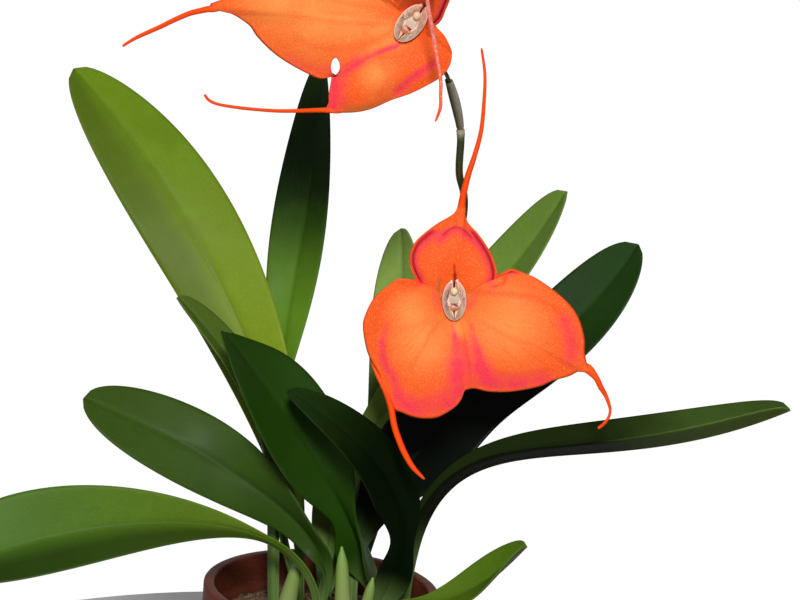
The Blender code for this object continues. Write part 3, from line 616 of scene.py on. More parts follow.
# %% Stalks
# SCAPE_R is a stalk's radius up to its joint, and PEDICEL_R is its radius above it. Each path
# goes on to the back of its flower.
SCAPE_R, PEDICEL_R = 1.2, 0.6
STALK_STEPS, STALK_SIDES = 12, 20
BRACT_ROWS, BRACT_SIDES, BRACT_WALL = 15, 36, 0.25
SCAPES = {
    "front": ((20, 13, 60), (28, 19, 92), (34, 23, 120), (35, 22, 145), (35, 7, 164)),
    "upper": ((10, 17, 60), (18, 22, 92), (25, 21, 122), (31, 19, 152), (36, -4, 200),
              (33, -19, 217), (32, -28, 231), (28, -36, 244), (24, -40, 251)),
}
# The point of each stalk where its joint sits; the upper one carries the bract.
JOINT = {"front": 4, "upper": 6}
# Each sheath's foot on the bark, its top, and its width.
SHOOTS = {
    "sheath_left": ((-12, -13), (-8, -16, 84), 6.0),
    "shoot_pale": ((9, -21), (6, -23, 92), 5.5),
    "shoot_front": ((14, -19), (17, -22, 82), 4.5),
}

stalk = Finish("stalk_green", Roughness=0.45, Coat_Weight=0.1)
fleck = stalk.noise(stalk.place(), 900.0, 3.0)
ring_mark = stalk.value("joint")
green = stalk.mix(fleck.step(0.4, 0.75) * 0.5, (0.026, 0.045, 0.006), (0.055, 0.055, 0.015))
stalk.wear(Base_Color=stalk.mix(ring_mark, green, (0.42, 0.40, 0.24)),
           Normal=stalk.bump(fleck, 0.00008, 0.5))

bracts = Finish("bract_paper", Roughness=0.7)
fibre = bracts.noise(bracts.stretch(bracts.place(), (1.0, 1.0, 0.15)), 2200.0, 3.0)
husk = bracts.mix(bracts.value("pale") * (0.4 + fibre), (0.045, 0.035, 0.008), (0.42, 0.38, 0.30))
bracts.wear(Base_Color=husk, Normal=bracts.bump(fibre, 0.0001, 0.8))

stalk_lines = {}
for key, line in SCAPES.items():
    end = set_in(FLOWERS[key], [(0, -3.0, -21.0), (0, 0, -TUBE_DEPTH - CALYX_T - 0.4)])
    pts = through(np.vstack([line, end]), STALK_STEPS)
    pts = np.vstack([(*pts[0][:2], SHANK_FLOOR), pts])
    stalk_lines[key] = pts
    spot = np.arange(len(pts)) - (STALK_STEPS * JOINT[key] + 1)
    radii = np.where(spot > 0, PEDICEL_R, SCAPE_R) + 0.15 * np.exp(-(spot / 1.6) ** 2)
    radii = radii + 0.25 * np.clip((np.arange(len(pts)) - len(pts) + 14) / 14, 0, 1)
    points, quads = closed_tube(tube_grid(pts, radii, STALK_SIDES))
    mark = np.exp(-(np.repeat(spot, STALK_SIDES) / 1.3) ** 2)
    piece("stalk_" + key, points, quads, stalk.material, ["scape_" + key],
          dict(joint=np.append(mark, [0, 0])))

# %% Bract with a torn upper edge
start = STALK_STEPS * JOINT["upper"] + 2
core = stalk_lines["upper"][start:start + BRACT_ROWS]
bulge = PEDICEL_R + 0.6 + 0.35 * np.sin(np.linspace(0, np.pi, BRACT_ROWS))
outer, inner = (tube_grid(core, r, BRACT_SIDES) for r in (bulge, bulge - BRACT_WALL))
around = np.linspace(0, 2 * np.pi, BRACT_SIDES, endpoint=False)
flare = 0.5 + 0.8 * np.maximum(0, np.sin(around)) ** 3
tear = unit(core[-1] - core[-2])[None, :] * flare[:, None]
outer[-1] += tear
inner[-1] += tear
wall = np.concatenate([outer, inner[::-1], outer[:1]], 0)
pale = wall[:, :, 0] - wall[:, :, 0].mean(1)[:, None]
pale = np.clip(0.40 + 0.6 * pale / bulge.max(), 0, 1).ravel() ** 1.5
piece("bract", wall.reshape(-1, 3), grid_faces(len(wall), BRACT_SIDES), bracts.material,
      ["bract_upper"], dict(pale=pale))

# %% Sheaths at the crown
sheath = Finish("sheath_green", Roughness=0.5, Coat_Weight=0.1)
stripe = sheath.noise(sheath.stretch(sheath.place(), (1.0, 1.0, 0.1)), 1600.0, 2.0)
rise = sheath.value("along").step(0.1, 0.8)
green = sheath.mix(rise, (0.40, 0.45, 0.20), (0.20, 0.34, 0.06))
sheath.wear(Base_Color=sheath.mix(stripe.step(0.4, 0.7) * 0.4, green, (0.30, 0.27, 0.13)),
            Normal=sheath.bump(stripe, 0.0001, 0.6))
SHEATH_SIDES = 24
for name, (spot, top, width) in SHOOTS.items():
    base = np.array([*spot, SOIL_TOP], float)
    top = np.array(top, float)
    line = through([np.array([*spot, SHANK_FLOOR]), base, base + (top - base) * 0.4,
                    base + (top - base) * 0.8, top], 8)
    r = width / 2
    radii = np.interp(np.linspace(0, 4, len(line)), range(5), (r * 0.8, r * 0.9, r, r * 0.7, 0.3))
    points, quads = closed_tube(tube_grid(line, radii, SHEATH_SIDES))
    run = np.repeat(np.linspace(0, 1, len(line)), SHEATH_SIDES)
    piece("crown_" + name, points, quads, sheath.material, [name],
          dict(along=np.append(run, [0, 1])))


# %% [markdown]
# ## The flowers
# Three sepals are joined into a cup and drawn out into long tails. The cup is drawn from the
# margin inwards: every margin point is joined to the centre by a ray, and the height along the
# ray makes the tube, the swell of each sepal and the valleys where two of them join. The marks
# are soft lines on the face: each is a short list of points, a width and a strength.

# %% Marks on the faces
# magenta and ember are lines of colour, glow is a list of apricot spots with their sizes, slit is cut into
# the face and dark, and the olive marks are painted shade: in the front flower's mouth between the petals
# and the tube wall, and on the upper flower along its lower margin, where the sepal's back lies in shadow.
# ridge is the raised line between the lower sepals, and the groove inside the top margin ends at the
# height crest.
MARKS = {
    "front": dict(
        magenta=((((-0.6, -8), (0.3, -12.5)), 0.7, 0.4), (((0.2, -11), (1.0, -16.5)), 1.1, 0.5),
            (((0.8, -15), (1.3, -21), (2.0, -29)), 1.7, 0.75), (((0.5, -20), (0.5, -27), (-1.0, -32)),
            2.6, 0.7), (((5.4, -8), (6.4, -12.5)), 0.7, 0.4), (((6.2, -12), (7.4, -17)), 1.1, 0.5),
            (((7.2, -15.5), (8.6, -22), (10.5, -26)), 1.6, 0.75), (((8.5, -21), (12, -25.5),
            (20, -26.5), (28, -25)), 2.8, 0.75), (((35, -7), (37, -12.5), (37, -18)), 2.6, 0.55),
            (((-21.5, -8), (-22.8, -14.4)), 0.9, 0.4), (((-22.8, -13.5), (-22, -19.5), (-19, -25),
            (-17.5, -31)), 1.3, 0.85), (((-17, -33), (-11, -34), (-4, -32.5)), 3.4, 0.8),
            (((-4.5, 19.3), (-1.1, 22.0), (1.3, 22.3), (3.9, 20.8), (6.0, 18.6)), 1.3, 0.85),
            (((3, -14), (5, -22), (5.5, -28)), 1.9, 0.5), (((-6, 2), (-4.6, -2)), 1.0, 0.3),
            (((6.5, 1.5), (5, -2)), 1.2, 0.35), (((-11, 5), (-10.5, 8)), 0.9, 0.4), (((11, 6),
            (12, 4.5)), 1.0, 0.45)),
        ember=((((6, 2.3), (15, 2.2), (24, 1), (31, -2), (35.5, -7.5), (37.5, -14)), 1.1, 0.6),
            (((9, -7), (16, -11), (24, -14)), 0.8, 0.3), (((12, -22.5), (20, -23.8), (30, -22)),
            0.9, 0.5), (((-5, -7), (-10, -15), (-14, -21)), 0.9, 0.35), (((-13, 4), (-19, 3), (-24, -3),
            (-25, -9)), 1.6, 0.35), (((16.5, 8.2), (15.5, 5.5), (13, 4.5)), 0.7, 1.0), (((-17, 5.9),
            (-14.5, 5.2), (-11.5, 4.8)), 0.8, 1.0)),
        glow=(((-10, -13), 9.5), ((17, -7), 12), ((1, -9), 4), ((-13, -4), 7)),
        slit=((((0.35, 6.0), (0.2, 8)), 0.5, 0.9), (((0.2, 8), (0, 11)), 0.28, 0.6), (((-3.6, 20.8),
            (-1.1, 22.7), (1.3, 23.0), (3.9, 21.6), (5.6, 19.9)), 0.35, 0.6)),
        olive_shade=((((-4.4, 6.2), (-4.9, 3.5), (-4.4, 0.5)), 0.55, 0.8), (((4.3, 4.5), (4.6, 2)),
            0.35, 0.6)),
        ridge=(((3, -7.5), (5.2, -20), (6.2, -28)), 0.7), crest=22.8),
    "upper": dict(
        magenta=((((-4, -6.4), (-10, -8.5), (-15, -11), (-19.5, -13.8)), 0.8, 0.8), (((7, -11.5),
            (4, -13.5), (0.5, -16), (-4, -19.5)), 1.2, 0.9), (((-16, -11), (-20, -14.5)), 2.0, 0.5),
            (((-22.6, -16), (-22.8, -19.5), (-23.5, -24)), 1.7, 0.95), (((-20, -17), (-20, -23)),
            1.6, 0.45), (((-24, -13), (-30, -12.5), (-36, -9)), 1.6, 0.25)),
        ember=((((-6, -3), (-14, -6), (-24, -7), (-34, -4)), 1.3, 0.35), (((-8, 0), (-20, 0.5),
            (-34, 2)), 0.9, 0.3), (((-5, 3), (-18, 6), (-34, 9)), 0.9, 0.3), (((-22.5, -19),
            (-23.5, -24.5)), 1.2, 0.6), (((-23.5, -16.5), (-23.8, -20), (-24.3, -24.5)), 0.9, 0.8),
            (((-9, -10), (-7, -15), (-9, -20)), 1.2, 0.3)),
        glow=(((-20, 4), 13), ((-9, -3.5), 6), ((-10, -15), 5), ((-38, 8), 12), ((-28, 2), 12)),
        slit=((((3.7, 4.8), (5.5, 7.2)), 0.5, 0.8),),
        olive_shade=((((-19, -25.2), (-12, -24.2), (-5, -22)), 1.0, 1.0),),
        ridge=(((-5, -6.8), (-14, -11.2), (-20, -14.2)), 0.8), crest=30),
}


def line_share(x, y, points, width):
    """exp(-(d / width) ** 2), with d the distance from a point of the face to the line."""
    line = through(points, 6)
    far = np.full(x.shape, 1e9)
    for a, b in zip(line[:-1], line[1:]):
        run = b - a
        t = np.clip(((x - a[0]) * run[0] + (y - a[1]) * run[1]) / (run @ run), 0, 1)
        far = np.minimum(far, (x - a[0] - t * run[0]) ** 2 + (y - a[1] - t * run[1]) ** 2)
    return np.exp(-far / width ** 2)


def stain(x, y, lines):
    """Soft lines laid over each other, as 1 minus the product of what each leaves."""
    left = np.ones(x.shape)
    for points, width, strength in lines:
        left *= 1 - strength * line_share(x, y, points, width)
    return 1 - left


# %% Calyx surface
def oval(ang, turn, halves):
    """Radius, at each angle, of an oval with the given half width and half height."""
    t = ang - np.radians(turn)
    return 1 / np.hypot(np.cos(t) / halves[0], np.sin(t) / halves[1])


def margin_reach(rim, ang):
    """Farthest crossing of the closed margin line with the ray at each angle."""
    a, b = rim, np.roll(rim, -1, 0)
    ray = np.stack([np.cos(ang), np.sin(ang)], -1)[:, None]
    run = (b - a)[None]
    turn = ray[..., 0] * run[..., 1] - ray[..., 1] * run[..., 0]
    turn = np.where(np.abs(turn) < 1e-9, 1e-9, turn)
    out = (a[None, :, 0] * run[..., 1] - a[None, :, 1] * run[..., 0]) / turn
    t = (a[None, :, 0] * ray[..., 1] - a[None, :, 1] * ray[..., 0]) / turn
    return np.where((t >= 0) & (t <= 1) & (out > 0), out, 0).max(1)


def calyx_surface(flower, marks, cols=432, count=52):
    """Rows from the tube floor to the margin: ray direction times radius, and a height.

    With f from 0 at the mouth to 1 at the margin, the height is the swell sin(pi f), less a
    valley at each join, plus the lean of the whole face and the relief of ridge and groove.
    """
    keys = ("right", "dorsal", "left")
    rim = np.vstack([through(flower[key], 9)[:-1] for key in keys])
    ang = np.linspace(-np.pi, np.pi, cols, endpoint=False)
    ray = np.stack([np.cos(ang), np.sin(ang)], -1)
    reach = margin_reach(rim, ang)
    valley = np.zeros(cols)
    for key in keys:
        a = np.arctan2(flower[key][0][1], flower[key][0][0])
        gap = np.abs((ang - a + np.pi) % (2 * np.pi) - np.pi)
        valley += np.exp(-(gap / np.radians(13)) ** 2)
    tube_r = oval(ang, flower["turn"], TUBE_OVAL)
    mouth_r = oval(ang, flower["turn"], MOUTH_OVAL)
    f = np.linspace(0, 1, count)[:, None]
    r = mouth_r + (reach - mouth_r) * f
    x, y = ray[:, 0] * r, ray[:, 1] * r
    swell = np.sin(np.pi * f) * 2.2 * np.minimum(1, (reach - mouth_r) / 20)
    z = -1.0 * (1 - f) ** 3 + swell - valley * 1.1 * np.sin(np.pi * f ** 0.8) - 1.5 * f ** 3
    z = z + height_of(flower, x, y) * np.minimum(1, f * 4)
    inset = (reach - mouth_r) * (1 - f)
    start, end = (np.arctan2(flower[key][0][1], flower[key][0][0]) for key in keys[1:])
    upper = np.clip((ang - start) / 0.12, 0, 1) * np.clip((end - ang) / 0.12, 0, 1)
    upper = upper * np.clip((f - 0.35) / 0.2, 0, 1)
    upper = upper * np.clip((marks["crest"] - y) / 1.5, 0, 1)
    trough = upper * np.exp(-((inset - 1.25) / 0.5) ** 2)
    z = z - 1.0 * trough + 0.3 * np.exp(-(inset / 0.8) ** 2) * f
    z = z + 0.5 * line_share(x, y, marks["ridge"][0], marks["ridge"][1]) * f ** 0.5
    slit = stain(x, y, marks["slit"])
    z = z - 0.8 * slit
    z = z - 0.35 * stain(x, y, marks["magenta"][:2]) * f
    lead = through([(0.1, -TUBE_DEPTH), (0.85, -TUBE_DEPTH), (0.95, -TUBE_DEPTH + 1),
                    (1.0, -TUBE_DEPTH * 0.5)], 4)
    neck = through([(0.0, -TUBE_DEPTH * 0.5), (0.6, -3.2), (1.0, -1.0)], 5)[1:]
    cup_r = np.concatenate([lead[:, 0][:, None] * tube_r,
                            tube_r + (mouth_r - tube_r) * neck[:, 0][:, None]])[:-1]
    cup_z = np.concatenate([lead[:, 1], neck[:, 1]])[:-1, None]
    cup = np.stack([ray[:, 0] * cup_r, ray[:, 1] * cup_r,
                    np.broadcast_to(cup_z, cup_r.shape)], -1)
    grid = np.concatenate([cup, np.stack([x, y, z], -1)], 0)

    def down(numbers, inside):
        """Adds the tube's rows, all with one value, above the face's rows."""
        return np.concatenate([np.full(cup.shape[:2], inside), np.broadcast_to(numbers, x.shape)])

    glow = np.zeros(x.shape)
    for (gx, gy), wide in marks["glow"]:
        glow = np.maximum(glow, np.exp(-((x - gx) ** 2 + (y - gy) ** 2) / wide ** 2))
    edge_blush = upper * np.exp(-(np.maximum(inset - 1.5, 0) / 2.2) ** 2)
    magenta = 1 - (1 - stain(x, y, marks["magenta"])) * (1 - 0.9 * edge_blush)
    # Inside the tube, share falls with depth and dark is 0.3, so the finish paints shade there.
    share = np.concatenate([np.broadcast_to((cup_z + 1.0) / TUBE_DEPTH, cup.shape[:2]),
                            np.broadcast_to(f, x.shape)], 0)
    return grid, dict(share=share, inset=down(inset, 20.0), magenta=down(magenta, 0.0),
                      ember=down(stain(x, y, marks["ember"]), 0.0), glow=down(glow, 0.0),
                      olive_shade=down(stain(x, y, marks["olive_shade"]), 0.0),
                      dark=down(np.maximum(slit, 0.85 * trough), 0.3), turn=down(ang, 0.0))


def shell(grid, thick):
    """The surface and its copy pushed back along the normals, joined round the margin."""
    across = np.roll(grid, -1, 1) - np.roll(grid, 1, 1)
    along = np.gradient(grid, axis=0)
    normal = unit(np.cross(along, across))
    normal = unit(normal + np.roll(normal, 1, 1) + np.roll(normal, -1, 1))
    sign = np.sign(normal[len(grid) // 2:, :, 2].mean())
    back = grid - thick * sign * normal
    return np.concatenate([grid[:-1], (grid[-1:] * 0.5 + back[-1:] * 0.5), back[-2::-1]], 0)


# %% Sepal finish
def sepal_finish(name):
    """Orange sepals with an apricot middle, magenta papillae on the marks, and a dull back."""
    skin = Finish(name, Roughness=0.6, Specular_IOR_Level=0.12)
    spot = skin.place()
    share, inset, face = skin.value("share"), skin.value("inset"), skin.value("face")
    turn, tail = skin.value("turn"), skin.value("tail")
    lane = skin.node("ShaderNodeCombineXYZ", None, {0: turn * 12.0, 1: share * 1.2, 2: 0.0})
    vein = skin.noise(lane, 2.0, 3.0, 0.6)
    cloud = skin.noise(spot, 170.0, 3.0, 0.6)
    grain = skin.noise(spot, 2600.0, 2.0, 0.7)
    cells = skin.node("ShaderNodeTexVoronoi", None, {"Vector": spot, "Scale": 1900.0})
    orange = skin.mix(skin.value("glow") * (0.75 + cloud * 0.4), ORANGE, APRICOT)
    orange = skin.mix(vein.step(0.52, 0.72) * 0.22, orange, EMBER)
    orange = skin.mix(skin.value("ember") * 0.8, orange, EMBER)
    orange = skin.mix(grain.step(0.50, 0.66) * 0.45, orange, APRICOT)
    orange = skin.mix(grain.step(0.48, 0.32) * 0.25, orange, EMBER)
    # Painted glint: the palest specks stand for light glistening on the papillae.
    orange = skin.mix(grain.step(0.62, 0.74) * 0.35, orange, PAPILLA_GLINT)
    dust = cells.step(0.50, 0.15)
    blush = (skin.value("magenta") * (0.7 + cloud.step(0.30, 0.62) * 0.6)).low(1.0)
    orange = skin.mix(blush, orange, BLUSH)
    orange = skin.mix(blush * dust * 0.75, orange, MAGENTA)
    # Painted shade: the olive marks darken the face towards a brown olive.
    orange = skin.mix(skin.value("olive_shade"), orange, OLIVE_SHADE)
    orange = skin.mix(skin.value("dark"), orange, WINE)
    orange = skin.mix(inset.step(1.0, 0.6) * 0.9, orange, RIM)
    # Painted shade: deeper inside the tube the sepals darken towards a brown.
    orange = skin.mix(share.step(0.0, -0.45) * 0.8, orange, THROAT_SHADE)
    tails = skin.mix(grain.step(0.4, 0.7) * 0.25, TAIL, TAIL_LIT)
    frost = cells.step(0.55, 0.25) * 0.7 + 0.3
    tails = skin.mix(skin.value("pale") * frost, tails, FROST)
    orange = skin.mix(tail, orange, tails)
    back = skin.mix(cloud.step(0.3, 0.7), *BACK)
    back = skin.mix(inset.step(2.0, 0.5), back, RIM)
    back = skin.mix(tail, back, tails)
    ridge = skin.bump(vein, 0.0002, 0.35)
    ridge = skin.bump(cells, 0.00012, 0.55, ridge)
    ridge = skin.bump(grain, 0.00005, 0.5, ridge)
    return skin.wear(Base_Color=skin.mix(face, back, orange), Roughness=0.66 - grain * 0.2,
                     Normal=ridge)


ORANGE, APRICOT, EMBER = (1.0, 0.105, 0.013), (0.97, 0.29, 0.062), (0.86, 0.055, 0.006)
MAGENTA, BLUSH, WINE = (0.80, 0.022, 0.135), (1.0, 0.055, 0.075), (0.25, 0.004, 0.02)
RIM, PAPILLA_GLINT, OLIVE_SHADE = (0.98, 0.10, 0.010), (1.0, 0.42, 0.22), (0.38, 0.15, 0.035)
THROAT_SHADE, FROST = (0.45, 0.10, 0.02), (0.90, 0.50, 0.48)
TAIL, TAIL_LIT = (1.0, 0.065, 0.001), (0.95, 0.13, 0.02)
BACK = (0.42, 0.15, 0.05), (0.25, 0.12, 0.05)
SEPALS = sepal_finish("sepal_orange")


# %% Tails
TAIL_SIDES = 16


def tail_grid(flower, line, girth):
    """A tube that lies flat in the sepal where it starts, and is round further out."""
    pts = through(line, 10)
    s = np.linspace(0, 1, len(pts))
    radii = np.interp(s, np.linspace(0, 1, len(girth)), girth) * np.clip((1.01 - s) / 0.02, 0.3, 1)
    radii = radii + 0.25 * np.exp(-((s - 0.10) / 0.08) ** 2)
    flat = np.clip(0.30 + s * 2.6, 0, 1)
    pts[:, 2] -= 0.6 * np.clip(1 - s / 0.15, 0, 1)
    return tube_grid(set_in(flower, pts), radii, TAIL_SIDES, flower_axes(flower)[2], flat), s


# %% Make the flowers
def open_slot(points, quads, slot):
    """Drops the faces inside an oval slot and moves the points left inside out to its edge."""
    gap = (points[:, :2] - slot) / HOLE_OVAL
    away = np.linalg.norm(gap, axis=1)
    inside = (away < 1) & (points[:, 2] > -TUBE_DEPTH * 0.8)
    quads = [q for q in quads if not all(inside[i] for i in q)]
    lone = np.zeros(len(points), bool)
    lone[[i for q in quads for i in q if inside[i]]] = True
    points[lone, :2] = np.array(slot) + (gap[lone] / away[lone, None]) * HOLE_OVAL
    return points, quads


for key, flower in FLOWERS.items():
    grid, facts = calyx_surface(flower, MARKS[key])
    shape = closed_tube(shell(grid, CALYX_T))
    shapes = [open_slot(*shape, flower["hole"]) if "hole" in flower else shape]
    values = {}
    for fact, numbers in facts.items():
        both = np.concatenate([numbers, numbers[-2::-1]], 0)
        values[fact] = [both.ravel(), [both[0].mean(), both[-1].mean()]]
    front = grid.shape[0] * grid.shape[1]
    plain = np.zeros(len(shape[0]))
    values["face"] = [np.ones(front), plain[front:-2], [1, 0]]
    values["tail"], values["pale"] = [plain], [plain]
    for number, (line, girth) in enumerate(zip(flower["tails"], flower["girths"])):
        rings, s = tail_grid(flower, line, girth)
        shapes.append(closed_tube((rings - flower["place"]) @ flower_axes(flower).T))
        plain = np.zeros(len(shapes[-1][0]))
        for fact in facts:
            values[fact].append(plain + dict(share=1.0, inset=0.3).get(fact, 0.0))
        values["face"].append(plain + 1)
        fade = np.clip((s - 0.10) / 0.16, 0, 1)
        values["tail"].append(np.append(np.repeat(fade, TAIL_SIDES), [0, 1]))
        pale = 0.9 * np.clip((0.95 - s) / 0.35, 0, 1) * ((key, number) == ("upper", 0))
        values["pale"].append(np.append(np.repeat(pale, TAIL_SIDES), [0, 0]))
    points, quads = merged(shapes)
    piece("sepals_" + key, set_in(flower, points), quads, SEPALS, ["calyx_" + key],
          {fact: np.concatenate(numbers) for fact, numbers in values.items()})

# %% [markdown]
# ## Column, petals and lip
# Two pale petals stand like brackets in the mouth, with the column's cream cap between their
# tops and the small lip between their feet.

# %% Pale finishes
def speckled(name, scale, detail, start, colors, patch, patch_color, depth, **fixed):
    """Two colours in fine specks, and a third where the stored number patch is high."""
    skin = Finish(name, Roughness=0.4, **fixed)
    speck = skin.noise(skin.place(), scale, detail)
    color = skin.mix(speck.step(start, 0.7), *colors)
    return skin.wear(Base_Color=skin.mix(skin.value(patch), color, patch_color),
                     Normal=skin.bump(speck, depth, 0.4))


# The petals' emission is a painted glow: it stands in for light shining through the thin petals and lifts
# their shaded walls in the mouth.
petal_pale_painted_glow = speckled(
    "petal_pale_painted_glow", 800.0, 3.0, 0.35, ((0.93, 0.60, 0.46), (0.98, 0.74, 0.62)),
    "low", (0.80, 0.60, 0.42), 0.00003,
    Emission_Color=(0.95, 0.62, 0.46, 1.0), Emission_Strength=0.16)
column_cream = speckled(
    "column_cream", 900.0, 2.0, 0.35, ((0.86, 0.62, 0.36), (0.93, 0.76, 0.52)),
    "foot", (0.62, 0.52, 0.42), 0.00008)
lip_peach = speckled(
    "lip_peach", 1200.0, 2.0, 0.4, ((0.72, 0.30, 0.17), (0.80, 0.42, 0.26)),
    "heart", (0.22, 0.008, 0.05), 0.00008)


# %% Small pieces in each mouth
def turned(flower, points):
    """Points rolled by the flower's turn in its own face."""
    t = np.radians(flower["turn"])
    x = points[..., 0] * np.cos(t) - points[..., 1] * np.sin(t)
    y = points[..., 0] * np.sin(t) + points[..., 1] * np.cos(t)
    return set_in(flower, np.stack([x, y, points[..., 2]], -1))


def ball(centre, radius, n=14):
    """Rings of a ball with a radius along each axis, for a cap or a knob."""
    a = np.linspace(0.04, np.pi - 0.04, n)[:, None]
    b = np.linspace(0, 2 * np.pi, 2 * n, endpoint=False)[None, :]
    round_it = np.stack([np.sin(a) * np.cos(b), np.sin(a) * np.sin(b), np.cos(a) + 0 * b], -1)
    return np.array(centre) + np.array(radius) * round_it


def joined(grids):
    """Several grids of rings, each closed, as one list of points and one of faces."""
    return merged(closed_tube(rings) for rings in grids)


MOUTH_SIDES = 28

for key, flower in FLOWERS.items():
    a = np.linspace(0, 2 * np.pi, MOUTH_SIDES, endpoint=False)
    line = through(COLUMN, 8)
    radii = np.interp(np.linspace(0, 4, len(line)), range(5), COLUMN_R)
    foot = through([(0, 2.2, -1.4, 1.0), (0, 0.6, -1.6, 1.6), (0, -1.0, -2.2, 1.7)], 8)
    plate = np.stack([foot[:, 3:] * np.cos(a), foot[:, 1:2] + 0 * a,
                      foot[:, 2:3] + 0.35 * np.sin(a) + 0.3 * np.cos(a) ** 2], -1)
    points, quads = joined([tube_grid(line, radii, MOUTH_SIDES),
                            ball((0, 2.9, -0.1), (1.15, 1.25, 1.0)), plate[::-1]])
    cap = np.clip((points[:, 2] + 1.2) / 0.4, 0, 1) * np.clip((points[:, 1] - 1.4) / 0.5, 0, 1)
    piece("pillar_" + key, turned(flower, points), quads, column_cream,
          ["column_" + key], dict(foot=1 - cap))
    spine = through(PETAL_CUP, 8)
    for side, sign in (("left", -1), ("right", 1)):
        z, wide, high, arc = (spine[:, k][:, None] for k in range(4))
        phi = np.radians(arc) * np.linspace(-1.05, 1, 26)[None, :]
        thin = np.sqrt(np.clip(1 - np.linspace(-1, 1, 26) ** 4, 0.2, 1))[None, :] * 0.45
        outer, inner = (np.stack([sign * (0.1 + (wide - inset - 0.1) * np.cos(phi)),
                                  (high - inset) * np.sin(phi), z + 0 * phi], -1)
                        for inset in (0, thin))
        grid = np.concatenate([outer, inner[:, ::-1]], 1)
        knob = ball((sign * 0.95, 6.0 + 0.15 * sign, 0.9), (0.42, 0.6, 0.42), 8)
        points, quads = joined([grid[:, ::-1] if sign < 0 else grid, knob])
        low = np.clip((-2.5 - points[:, 1]) / 2.0, 0, 1)
        piece("petal_%s_%s_fine" % (side, key), turned(flower, points), quads,
              petal_pale_painted_glow, ["petal_%s_%s" % (side, key)], dict(low=low))
    spine = through([(*p, w, t) for p, w, t in zip(LIP, LIP_W, LIP_T)], 8)
    x, y, z, w, t = (spine[:, k][:, None] for k in range(5))
    grid = np.stack([x + w * np.cos(a), y + t * np.sin(a) - 0.5 * t * np.cos(a) ** 2, z + 0 * a], -1)
    points, quads = closed_tube(grid)
    heart = np.abs(points[:, 0] - 0.6) - 0.75 - 0.55 * (points[:, 1] + 1.6)
    heart = np.clip(0.5 - heart / 0.35, 0, 1) * np.clip((points[:, 2] + 1.6) / 0.5, 0, 1)
    piece("tongue_" + key, turned(flower, points), quads, lip_peach, ["lip_" + key],
          dict(heart=heart))

# %% [markdown]
# ## The pot
# A plain round plastic pot, turned from one outline with a stepped rim. The plastic is red-brown,
# with a satin skin, fine scratches round it, and pale dust. Four round drain holes are cut
# through its floor.

# %% Plastic
plastic = Finish("pot_red_brown", Roughness=0.45, Specular_IOR_Level=0.25)
pot_spot = plastic.place()
haze = plastic.noise(pot_spot, 40.0, 4.0, 0.6)
scratch = plastic.noise(plastic.stretch(pot_spot, (1.0, 1.0, 9.0)), 160.0, 3.0, 0.7)
dots = plastic.noise(pot_spot, 1300.0, 2.0)
brown = plastic.mix(haze.step(0.35, 0.7), (0.105, 0.022, 0.010), (0.160, 0.036, 0.018))
brown = plastic.mix(dots.step(0.62, 0.78) * 0.35, brown, (0.34, 0.20, 0.14))
plastic.wear(Base_Color=brown, Roughness=0.38 + haze * 0.18 + scratch * 0.08,
             Normal=plastic.bump(scratch, 0.0001, 0.35))

# %% Turn the pot
POT_RIM_R, POT_BASE_R, POT_HEIGHT = 40.0, 28.0, 70.0
POT_WALL, POT_FLOOR, RIM_DEPTH, RIM_STEP = 1.8, 2.5, 8.0, 1.8
DRAIN_R, DRAIN_RING, DRAINS = 4.0, 17.0, 4
POT_SPOKES, DRAIN_SPOKES, CORNER_R = 160, 40, 0.8
r_in = POT_RIM_R - RIM_STEP - POT_WALL
low = POT_HEIGHT - RIM_DEPTH


def lathe(outline, spokes):
    """Rings of points: each outline pair (r, z) swept round the upright axis."""
    a = np.linspace(0, 2 * np.pi, spokes, endpoint=False)
    r, z = (side[:, None] for side in np.asarray(outline, float).T)
    return np.stack([r * np.cos(a), r * np.sin(a), z + 0 * a], -1)


def rounded(corners, radius, steps=5):
    """An outline with each inner corner replaced by a short quadratic curve."""
    c = np.asarray(corners, float)
    out = [c[0]]
    for a, b, d in zip(c[:-2], c[1:-1], c[2:]):
        reach = min(radius, 0.45 * np.linalg.norm(a - b), 0.45 * np.linalg.norm(d - b))
        p, q = b + unit(a - b) * reach, b + unit(d - b) * reach
        t = np.linspace(0, 1, steps)[:, None]
        out += list((1 - t) ** 2 * p + 2 * (1 - t) * t * b + t ** 2 * q)
    return out + [c[-1]]


wall = rounded([(2, 0), (POT_BASE_R - 2, 0.0), (POT_BASE_R - 1, 0.9), (POT_BASE_R, 1.0),
                (POT_RIM_R - RIM_STEP - 0.6, low), (POT_RIM_R, low), (POT_RIM_R, POT_HEIGHT),
                (r_in, POT_HEIGHT), (r_in, low - 2.0), (r_in - 0.8, low - 4.0),
                (POT_BASE_R - POT_WALL, POT_FLOOR), (2, POT_FLOOR)], CORNER_R)
points, quads = closed_tube(lathe(wall, POT_SPOKES))
pot = piece("pot_turned", points, quads, plastic.material, ["pot"])
for number in range(DRAINS):
    a = 2 * np.pi * (number + 0.5) / DRAINS
    spot = np.array([DRAIN_RING * np.cos(a), DRAIN_RING * np.sin(a), 0])
    bar = lathe([(DRAIN_R, -1), (DRAIN_R, POT_FLOOR + 1)], DRAIN_SPOKES) + spot
    points, quads = closed_tube(bar)
    drain = bpy.data.meshes.new("drain")
    drain.from_pydata((points * MM).tolist(), [], quads)
    tool = bpy.data.objects.new("drain", drain)
    bpy.context.scene.collection.objects.link(tool)
    bore = pot.modifiers.new("bore", "BOOLEAN")
    bore.object, bore.solver = tool, "EXACT"
    seen = pot.evaluated_get(bpy.context.evaluated_depsgraph_get())
    bored = bpy.data.meshes.new_from_object(seen)
    pot.modifiers.clear()
    pot.data = bored
    bpy.data.objects.remove(tool)

# %% [markdown]
# ## The bark bed
# The pot is filled with chopped bark. A lumpy bed fills the pot up to just under the rim, and a
# few hundred thin chips lie on it at random tilts from a fixed seed.

